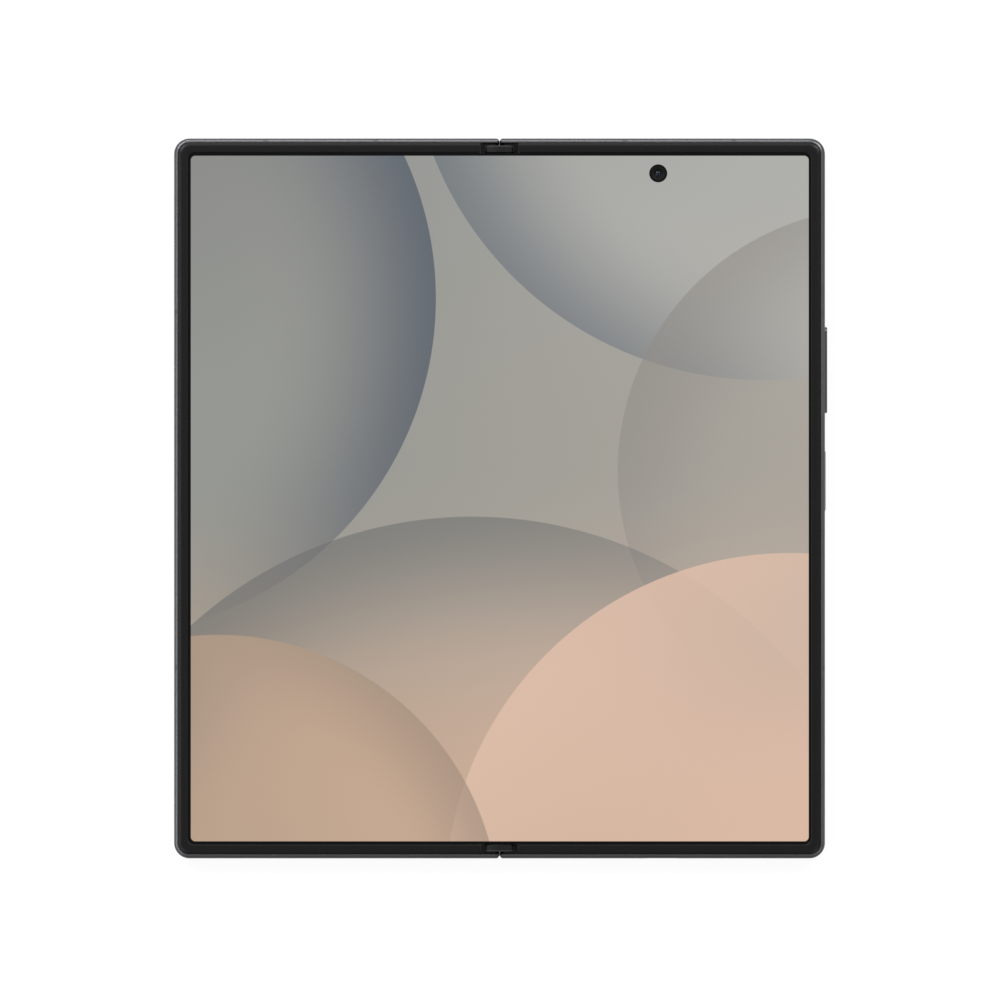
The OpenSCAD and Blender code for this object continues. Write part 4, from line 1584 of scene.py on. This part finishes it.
@dataclass
class Key:
    """One side key: a rounded bar with a flange that stops it in the wall."""

    node: str
    length: float
    middle_y: float
    out: float
    pads: tuple[float, ...]
    height: float = 1.9 * MM
    middle_z: float = LIFT + 2.075 * MM
    flange: float = 1.45 * MM
    flange_t: float = 0.4 * MM
    flange_w: float = 0.25 * MM
    round_: float = 0.28 * MM
    fullness: float = 0.98
    pad_r: float = 0.6 * MM
    pad_edge: float = 0.08 * MM
    pad_end: float = 69.45 * MM

    def bar(self, grow: float, x: float) -> Outline:
        """A section of the key at a distance from the middle of the phone."""
        half = self.height / 2 + grow
        return Outline(half, self.length / 2 + grow, half * self.fullness, x)

    def build(self, finish: Finish) -> None:
        """Builds the key and lays it into the right wall.

        Args:
            finish: The key's finish.
        """
        base = HALF_W - self.flange
        back = base - self.flange_t
        face = HALF_W + self.out
        sections = [self.bar(self.flange_w, back), self.bar(self.flange_w, base), self.bar(0.0, base)]
        sections += [self.bar(-inset, face - left) for inset, left in quarter_round(self.round_, 4)]
        parts = [Bench.loft(self.node + "_bar", sections, steps=12)]
        r, end = self.pad_r, self.pad_end
        for offset in self.pads:
            profile = [(r * 0.8, end), (r, end + self.pad_edge), (r, back + Bench.NEAR)]
            pad = Bench.turn(self.node + "_pad", profile, 8)
            Bench.move(pad, (0, offset, 0))
            parts.append(pad)
        piece = Bench.merge(self.node + "_cap", parts)
        Bench.move(piece, (0, self.middle_y, self.middle_z), (0, math.pi / 2, 0))
        Bench.smooth(piece, 35)
        finish.dress(piece)
        seat(piece, self.node, "frame_metal", self.node)


@dataclass
class InnerCamera:
    """The camera under the round hole in the right panel."""

    top: float = LIFT + 3.85 * MM
    base: float = LIFT + 2.74 * MM
    tube_r: float = 1.775 * MM
    lens_r: float = 0.66 * MM
    housing: tuple[tuple[float, float, float], ...] = ((3.6, 0.5, 0.8), (3.6, 0.5, 2.55), (3.4, 0.4, 2.75))
    steps_in: tuple[tuple[float, float], ...] = (
        (1.42, 0.0),
        (1.36, 0.06),
        (0.95, 0.14),
        (0.8, 0.3),
        (0.66, 0.34),
    )

    def build(self) -> None:
        """Builds the housing, the stepped mount and the small front lens."""
        top, r, edge = self.top, self.tube_r, 0.04 * MM
        profile = [(r, self.base), (r, top - edge), (r - edge, top)]
        profile += [(radius * MM, top - depth * MM) for radius, depth in self.steps_in]
        mount = Bench.turn("inner_camera_mount", [*profile, (self.lens_r, top - 0.55 * MM)])
        housing = Bench.loft(
            "inner_camera_housing",
            [Outline(half * MM, half * MM, radius * MM, LIFT + z * MM) for half, radius, z in self.housing],
            steps=5,
        )
        piece = Bench.merge("inner_camera_body", [mount, housing])
        Bench.move(piece, (EYE_X, EYE_Y, 0))
        Bench.smooth(piece, 30)
        MouldedPlastic("camera black", (0.003, 0.003, 0.0031), 0.4, 0.08, 0.002 * MM).dress(piece)
        seat(piece, "main_half", "module_plastic", "inner_camera")
        lens = dome("inner_camera_lens", self.lens_r, self.lens_r / 3, top - 0.5 * MM)
        Bench.move(lens, (EYE_X, EYE_Y, 0))
        core, coat, rim, glint = (0.004, 0.005, 0.01), (0.008, 0.01, 0.02), rgb("232a3a"), (0.7, 0.8, 1.0)
        CoatedLens("inner lens coating", core, coat, rim, glint, 0.2, 0.1).dress(lens)
        seat(lens, "main_half", "lens_glass")


def dome(name: str, radius: float, height: float, z: float, down: bool = False) -> Piece:
    """A shallow lens element.

    Args:
        name: The piece's name.
        radius: Its rim's radius.
        height: How far it bulges.
        z: The height of its rim.
        down: Bulges downwards.

    Returns:
        The new piece, about the z axis.
    """
    sign = -1 if down else 1
    ball = (radius**2 + height**2) / (2 * height)
    reach = math.asin(radius / ball)
    profile = [(radius, z - sign * 0.12 * MM)]
    for step in range(10):
        angle = reach * (1 - step / 10)
        profile.append((ball * math.sin(angle), z + sign * (ball * math.cos(angle) - ball + height)))
    return Bench.smooth(Bench.turn(name, profile, 14), 60)


@dataclass(frozen=True)
class RearCamera:
    """One rear lens: its name, place, the opening in its barrel and its coating."""

    label: str
    y: float
    opening: float
    coating: CoatedLens


@dataclass
class CameraIsland:
    """The raised plate with the three rear lenses, which hangs below the back glass."""

    island_r: float = 8.7 * MM
    island_h: float = 1.0 * MM
    edge_r: float = 0.45 * MM
    bump_h: float = 2.3 * MM
    ring_r: float = 6.8 * MM
    glass_r: float = 5.2 * MM
    glass_t: float = 0.5 * MM
    clearance: float = 0.1 * MM
    fullness: float = 0.999
    ledge: float = 0.455 * MM
    barrel_r: float = 3.6 * MM
    plate: Finish = BlastedMetal("island metal", (0.085, 0.085, 0.09), 0.32)
    rings: Finish = TurnedMetal()
    glasses: Finish = ClearGlass()
    barrel: Finish = MouldedPlastic("lens barrel black", (0.005, 0.005, 0.0055), 0.36, 0.25, 0.003 * MM)
    cameras: tuple[RearCamera, ...] = (
        RearCamera(
            "wide",
            LENS_YS[0],
            2.15 * MM,
            CoatedLens(
                "wide lens coating",
                (0.004, 0.004, 0.012),
                (0.05, 0.02, 0.11),
                (0.01, 0.06, 0.06),
                (0.55, 0.35, 1.0),
            ),
        ),
        RearCamera(
            "main",
            LENS_YS[1],
            2.5 * MM,
            CoatedLens(
                "main lens coating",
                (0.003, 0.006, 0.007),
                (0.01, 0.06, 0.045),
                (0.07, 0.03, 0.1),
                (0.35, 0.9, 0.75),
            ),
        ),
        RearCamera(
            "tele",
            LENS_YS[2],
            1.75 * MM,
            CoatedLens(
                "tele lens coating",
                (0.003, 0.004, 0.012),
                (0.015, 0.03, 0.12),
                (0.05, 0.05, 0.02),
                (0.4, 0.6, 1.0),
            ),
        ),
    )

    def build_plate(self) -> None:
        """Builds the island with a rounded lower edge and bores it for the lenses."""
        r, face = self.island_r, LIFT - self.island_h
        half_y = (LENS_YS[0] - LENS_YS[-1]) / 2 + r
        sections = [Outline(r, half_y, r * self.fullness, LIFT)]
        for inset, left in quarter_round(self.edge_r, 5):
            corner = (r - inset) * self.fullness
            sections.append(Outline(r - inset, half_y - inset, corner, face + left))
        piece = Bench.loft("camera_island_plate", sections, steps=24)
        Bench.move(piece, (LENS_X, (LENS_YS[0] + LENS_YS[-1]) / 2, 0))
        for y in LENS_YS:
            Bench.bore(piece, (LENS_X, y, LIFT), self.glass_r + self.clearance, 96)
        Bench.smooth(piece, 30)
        self.plate.dress(piece)
        seat(piece, "main_half", "camera_metal", "camera_island")

    def repeat(self, first: Piece, prefix: str, finish: Finish, slot: str, node: str) -> None:
        """Copies a piece to each lens, and removes the first.

        Args:
            first: The piece, about the z axis.
            prefix: How the copies' names start.
            finish: Their finish.
            slot: The record's material slot.
            node: The CAD node that they stand for.
        """
        Bench.smooth(first, 30)
        for camera in self.cameras:
            piece = Bench.copy(first, f"{prefix}_{camera.label}", (LENS_X, camera.y, 0))
            finish.dress(piece)
            seat(piece, "main_half", slot, node)
        bpy.data.objects.remove(first, do_unlink=True)

    def build_rings(self) -> None:
        """Turns one ring and copies it to each lens."""
        low, high = LIFT - self.bump_h, LIFT - self.island_h
        ledge = high - self.ledge
        r, g = self.ring_r, self.glass_r
        profile = [
            (r, high),
            (r, low + 0.34 * MM),
            (r - 0.06 * MM, low + 0.16 * MM),
            (r - 0.18 * MM, low + 0.05 * MM),
            (r - 0.36 * MM, low),
            (g + 0.5 * MM, low),
            (g + 0.42 * MM, low + 0.03 * MM),
            (g + 0.05 * MM, low + 0.3 * MM),
            (g + 0.05 * MM, ledge),
            (g - 0.4 * MM, ledge),
            (g - 0.4 * MM, high),
        ]
        ring = Bench.turn("ring", profile, 24, hollow=True)
        self.repeat(ring, "camera_ring", self.rings, "camera_metal", "camera_rings")

    def build_glasses(self) -> None:
        """Turns one flat cover glass and copies it to each lens."""
        back = LIFT - self.island_h - self.ledge
        face = back - self.glass_t
        r, edge = self.glass_r, 0.1 * MM
        profile = [(r - 0.08 * MM, back), (r, back - edge / 2), (r, face + edge), (r - edge, face)]
        glass = Bench.turn("glass", profile, 24)
        self.repeat(glass, "camera_glass", self.glasses, "lens_glass", "camera_lens_glass")

    def build_barrels(self) -> None:
        """Builds each moving barrel with its stepped front and its domed element."""
        front = LIFT - self.island_h + 0.1 * MM
        r = self.barrel_r
        for camera in self.cameras:
            o = camera.opening
            profile = [
                (r, front + 2.85 * MM),
                (r, front + 0.1 * MM),
                (r - 0.1 * MM, front),
                (r - 0.35 * MM, front),
                (r - 0.4 * MM, front + 0.08 * MM),
                (r - 0.6 * MM, front + 0.1 * MM),
                (o + 0.3 * MM, front + 0.28 * MM),
                (o + 0.1 * MM, front + 0.28 * MM),
                (o, front + 0.34 * MM),
                (o, front + 0.75 * MM),
            ]
            barrel = Bench.smooth(Bench.turn(f"barrel_{camera.label}", profile, 24), 30)
            lens = dome(f"lens_{camera.label}", o, 0.3 * o, front + 0.66 * MM, down=True)
            body = f"lens_barrel_{camera.label}"
            for piece, finish in ((barrel, self.barrel), (lens, camera.coating)):
                Bench.move(piece, (LENS_X, camera.y, 0))
                finish.dress(piece)
            seat(barrel, body, "module_plastic", body)
            seat(lens, body, "lens_glass")

    def build(self) -> None:
        """Builds the island from the plate inwards."""
        self.build_plate()
        self.build_rings()
        self.build_glasses()
        self.build_barrels()


@dataclass
class Flash:
    """The round flash lens beside the top camera."""

    radius: float = 2.3 * MM
    depth: float = 0.6 * MM
    edge: float = 0.08 * MM
    rim: float = 0.3 * MM
    ridges: int = 5
    pitch: float = 0.34 * MM
    ridge: tuple[float, float] = (0.1 * MM, 0.07 * MM)

    def build(self) -> None:
        """Builds a ribbed lens with an eased rim, flush with the back glass."""
        r, edge = self.radius, self.edge
        profile = [(r, LIFT + self.depth), (r, LIFT + edge), (r - edge, LIFT)]
        across, deep = self.ridge
        for number in range(self.ridges):
            start = r - self.rim - self.pitch * number
            profile += [(start, LIFT), (start - across, LIFT + deep)]
        piece = Bench.turn("flash_window", profile)
        Bench.move(piece, (FLASH_X, FLASH_Y, 0))
        Bench.smooth(piece, 25)
        FlashLens().dress(piece)
        seat(piece, "main_half", "flash_plastic", "flash_lens")


@dataclass
class BackPlates:
    """The glass on the back of the main half and over the outer display of the cover half."""

    inset: float = 0.95 * MM
    seam_x: float = 1.005 * MM
    thick: float = 0.6 * MM
    round_: float = 0.22 * MM
    lens_r: float = 5.3 * MM
    flash_r: float = 2.35 * MM

    def plate(self, side: Side, name: str) -> Piece:
        """Builds one plate with a rounded outer edge.

        Args:
            side: The half that it is on.
            name: The plate's name.

        Returns:
            The plate, in place and without its holes.
        """
        r = CORNER_R - self.inset
        sections = [Outline.face(self.inset, r, LIFT + self.thick)]
        for inset, left in quarter_round(self.round_, 4):
            sections.append(Outline.face(self.inset + inset, r - inset, LIFT + left))
        piece = Bench.loft(name, sections)
        Bench.cut(piece, side, self.seam_x)
        return piece

    def build(self) -> None:
        """Makes both plates and bores the main one for its lenses and flash."""
        back = self.plate(Side.RIGHT, "back_plate")
        for x, y, r in [(LENS_X, y, self.lens_r) for y in LENS_YS] + [(FLASH_X, FLASH_Y, self.flash_r)]:
            Bench.bore(back, (x, y, LIFT), r, 72)
        window = self.plate(Side.LEFT, "cover_window")
        for piece, finish in ((back, FrostedGlass()), (window, CoverWindow())):
            Bench.smooth(piece, 35)
            finish.dress(piece)
        seat(back, "main_half", "back_glass", "back_glass")
        seat(window, "cover_half", "cover_glass", "cover_glass")


@dataclass
class HingeFlex:
    """Two ribbon cables that cross the hinge and bend with it."""

    node: str = "hinge_flex"
    width: float = 7.0 * MM
    thick: float = 0.12 * MM
    columns: int = 44
    reach: float = 13.0 * MM
    bend: tuple[float, float] = (6.0 * MM, 0.4 * MM)
    steps_z: tuple[tuple[float, float], ...] = ((5.4, 3.1), (6.8, 2.35))

    def height(self, x: float) -> float:
        """Follows the step that the ribbon takes down from the spine.

        Args:
            x: The distance from the seam, in metres.

        Returns:
            The ribbon's height, in metres.
        """
        (x0, z0), (x1, z1) = self.steps_z
        share = min(1.0, max(0.0, (abs(x) / MM - x0) / (x1 - x0)))
        return LIFT + (z0 + (z1 - z0) * share) * MM

    def build(self) -> None:
        """Builds each half as one piece of two strips, from the seam outwards."""
        low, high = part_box(self.node)
        size = (self.reach, self.width, self.thick)
        middles = (low.y + self.width / 2, high.y - self.width / 2)
        for side in Side:
            x = side.value * self.reach / 2
            places = [(x, y, -self.thick / 2) for y in middles]
            strips = [Bench.strip("ribbon", size, (self.columns, 2), place) for place in places]
            piece = Bench.merge(f"hinge_ribbon_{side.label}", strips)
            Bench.raise_columns(piece, self.reach, self.columns, self.height)
            Bench.smooth(piece, 35)
            CableFilm().dress(piece)
            hinge(piece, side, *self.bend, "flex_film", self.node)


@dataclass
class Chassis:
    """The CAD nodes whose shapes are right: each keeps its mesh and takes a finish."""

    metal: Finish = BlastedMetal("frame metal", (0.088, 0.089, 0.0945), 0.34)

    def finishes(self) -> dict[Finish, tuple[str, ...]]:
        """Each finish with the nodes that take it."""
        return {
            self.metal: ("frame_right", "frame_left", "spine_cover", "card_tray"),
            MouldedPlastic("antenna plastic", (0.02, 0.02, 0.0215), 0.4, 0.6): (
                "antenna_bands_right",
                "antenna_bands_left",
            ),
            BrushedSteel("bracket steel"): (
                "hinge_bracket_right",
                "hinge_bracket_left",
                "card_reader",
                "sync_arm_right",
                "sync_arm_left",
            ),
            BrushedSteel("shield steel", (0.55, 0.55, 0.55), 0.36, (9000.0, 500.0, 9000.0)): (
                "board_shields",
                "left_shields",
                "microphones",
                "haptic_motor",
            ),
            ChargingPort(): ("usb_c_port",),
            BrushedSteel("screw steel", (0.42, 0.42, 0.44), 0.26, (3000.0, 3000.0, 3000.0)): (
                "screws_right",
                "screws_left",
                "gear_pins",
                "detent_springs",
            ),
            BrushedSteel("hinge block steel", (0.3, 0.3, 0.31), 0.4): ("hinge_blocks", "haptic_mass"),
            BrushedSteel("magnet plating", (0.36, 0.355, 0.34), 0.2, (700.0, 700.0, 700.0)): (
                "magnets_right",
                "magnets_left",
            ),
            BrushedSteel("gear brass", (0.55, 0.42, 0.18), 0.28): ("idler_gear_right", "idler_gear_left"),
            PrintedBoard("main board"): ("main_board", "lower_board"),
            PrintedBoard("cover board", (0.006, 0.022, 0.03)): ("left_board",),
            CellWrap(): ("battery_right", "battery_left"),
            WoundCopper(): ("charging_coil",),
            MouldedPlastic("module black", (0.018, 0.018, 0.019)): (
                "camera_modules",
                "loudspeaker",
                "cover_camera",
            ),
            MouldedPlastic("earpiece mesh", (0.02, 0.02, 0.021), 0.35, 0.5, 0.03 * MM, 9000): ("earpiece",),
            MouldedPlastic("switch strip", (0.32, 0.17, 0.05), 0.3, 0.5, 0.01 * MM, 2000): ("key_switches",),
            MouldedPlastic("outer display panel", (0.008, 0.009, 0.011), 0.15, 0.5, 0.001 * MM): (
                "cover_display",
            ),
        }

    def build(self, nodes: Mapping[str, Piece]) -> None:
        """Dresses every node that stays.

        Args:
            nodes: The CAD nodes by name.
        """
        for finish, names in self.finishes().items():
            for name in names:
                finish.dress(nodes[name])
                log.info("%s: %s", name, finish.name)


@dataclass(frozen=True)
class Softbox:
    """A square soft light, aimed at the phone."""

    name: str
    azimuth: float
    elevation: float
    distance: float
    size: float
    power: float


@dataclass
class Studio:
    """Floor, light and the camera straight above the phone."""

    lens: float = 300.0
    sensor: float = 36.0
    field_w: float = 220.02 * MM
    off_x: float = 0.1 * MM
    off_y: float = -0.34 * MM
    plane: float = LIFT + 3.2 * MM
    day: float = 0.62
    sky: tuple[tuple[float, float], ...] = (
        (0.0, 0.85),
        (0.3, 0.72),
        (0.6, 0.52),
        (0.86, 0.68),
        (0.96, 0.85),
        (0.99, 0.2),
    )
    lean: tuple[float, float] = (-0.2, 0.36)
    boxes: tuple[Softbox, ...] = (
        Softbox("key light, top", 8, 34, 1.8, 0.85, 11),
        Softbox("key light, left", 100, 39, 1.8, 0.8, 7),
        Softbox("fill light, right", -92, 24, 1.8, 0.6, 1.3),
        Softbox("corner light, top left", 45, 50, 1.6, 0.36, 11),
        Softbox("corner light, top right", -45, 50, 1.6, 0.36, 11),
        Softbox("corner light, bottom left", 135, 50, 1.6, 0.3, 2.6),
        Softbox("corner light, bottom right", -135, 50, 1.6, 0.3, 2.6),
    )

    def build_camera(self) -> None:
        """Sets the camera so that the phone fills the frame as in the photograph."""
        data = bpy.data.cameras.new("camera")
        data.lens = self.lens
        data.sensor_width = self.sensor
        data.clip_start = 0.1
        data.clip_end = 20.0
        camera = bpy.data.objects.new("camera", data)
        bpy.context.scene.collection.objects.link(camera)
        distance = self.field_w * self.lens / self.sensor
        camera.location = (self.off_x, self.off_y, self.plane + distance)
        bpy.context.scene.camera = camera

    def build_floor(self) -> None:
        """Lays a pale floor that shows white and keeps the phone's shadow."""
        Bench.clear()
        bpy.ops.mesh.primitive_plane_add(size=14)
        floor = bpy.context.object
        floor.name = "floor"
        material = bpy.data.materials.new("studio floor")
        material.use_nodes = True
        graph = Graph(material.node_tree)
        rays = graph.node("ShaderNodeLightPath")
        seen = Value(graph, rays.outputs["Is Camera Ray"])
        for kind in ("Is Glossy Ray", "Is Transmission Ray"):
            seen = seen.most(Value(graph, rays.outputs[kind]))
        away = graph.far(graph.place()).between(0.2, 0.6)
        matt = graph.value("ShaderNodeBsdfDiffuse", None, {"Color": (0.92, 0.92, 0.92)})
        glow = graph.value("ShaderNodeEmission", None, {"Color": (1.0, 1.0, 1.0), "Strength": 1.0})
        mixed = graph.value("ShaderNodeMixShader", None, {0: seen * (away * 0.1 + 0.9), 1: matt, 2: glow})
        graph.node("ShaderNodeOutputMaterial", None, {"Surface": mixed})
        floor.data.materials.append(material)

    def build_world(self) -> None:
        """Makes an even sky, white to the camera, and darker overhead where gloss shows it."""
        world = bpy.data.worlds.new("studio")
        world.use_nodes = True
        bpy.context.scene.world = world
        graph = Graph(world.node_tree)
        rays = graph.node("ShaderNodeLightPath")
        way = graph.value("ShaderNodeTexCoord", out="Generated")
        x, y, height = graph.split(way)
        stops = tuple((place, (level,) * 3) for place, level in self.sky)
        rings = graph.value("ShaderNodeValToRGB", {"stops": stops}, {0: height})
        side = x * self.lean[0] + y * self.lean[1] + 1.0
        sky = graph.value("ShaderNodeVectorMath", {"operation": "SCALE"}, {0: rings, "Scale": side})
        glossy = Value(graph, rays.outputs["Is Glossy Ray"])
        shown = Value(graph, rays.outputs["Is Camera Ray"])
        shown = shown.most(Value(graph, rays.outputs["Is Transmission Ray"]))
        tone = graph.mix(glossy, (self.day, self.day, self.day * 1.01), sky)
        tone = graph.mix(shown, tone, (1.0, 1.0, 1.0))
        back = graph.value("ShaderNodeBackground", None, {"Color": tone, "Strength": 1.0})
        graph.node("ShaderNodeOutputWorld", None, {"Surface": back})

    def build_lights(self) -> None:
        """Hangs the softboxes; azimuth 0 is the far side and 90 the left."""
        for box in self.boxes:
            data = bpy.data.lights.new(box.name, "AREA")
            data.shape = "SQUARE"
            data.size = box.size
            data.energy = box.power
            lamp = bpy.data.objects.new(box.name, data)
            bpy.context.scene.collection.objects.link(lamp)
            turn, lift = math.radians(box.azimuth), math.radians(box.elevation)
            way = Vector((-math.sin(turn) * math.cos(lift), math.cos(turn) * math.cos(lift), math.sin(lift)))
            lamp.location = way * box.distance
            lamp.rotation_mode = "QUATERNION"
            lamp.rotation_quaternion = way.to_track_quat("Z", "Y")

    def build(self) -> None:
        """Sets up the studio."""
        self.build_camera()
        self.build_floor()
        self.build_world()
        self.build_lights()
        bpy.context.scene.view_settings.view_transform = "Standard"


def main() -> None:
    """Builds the looks of the phone round its CAD frame, then the studio."""
    logging.basicConfig(level=logging.INFO, format="%(message)s")
    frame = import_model()
    nodes = frame["nodes"]
    Chassis().build(nodes)
    DisplayPanel().build()
    trim = BezelTrim()
    trim.build()
    SeamGaskets().build(trim.finish)
    HingeCaps().build(nodes)
    keys = Chassis.metal
    Key("volume_key", 19.0 * MM, 28.25 * MM, 0.51 * MM, (-6.0 * MM, 6.0 * MM)).build(keys)
    Key("side_key", 13.3 * MM, 3.83 * MM, 0.16 * MM, (0.0,)).build(keys)
    InnerCamera().build()
    BackPlates().build()
    CameraIsland().build()
    Flash().build()
    HingeFlex().build()
    Studio().build()
    Bench.clear()


if __name__ == "__main__":
    main()
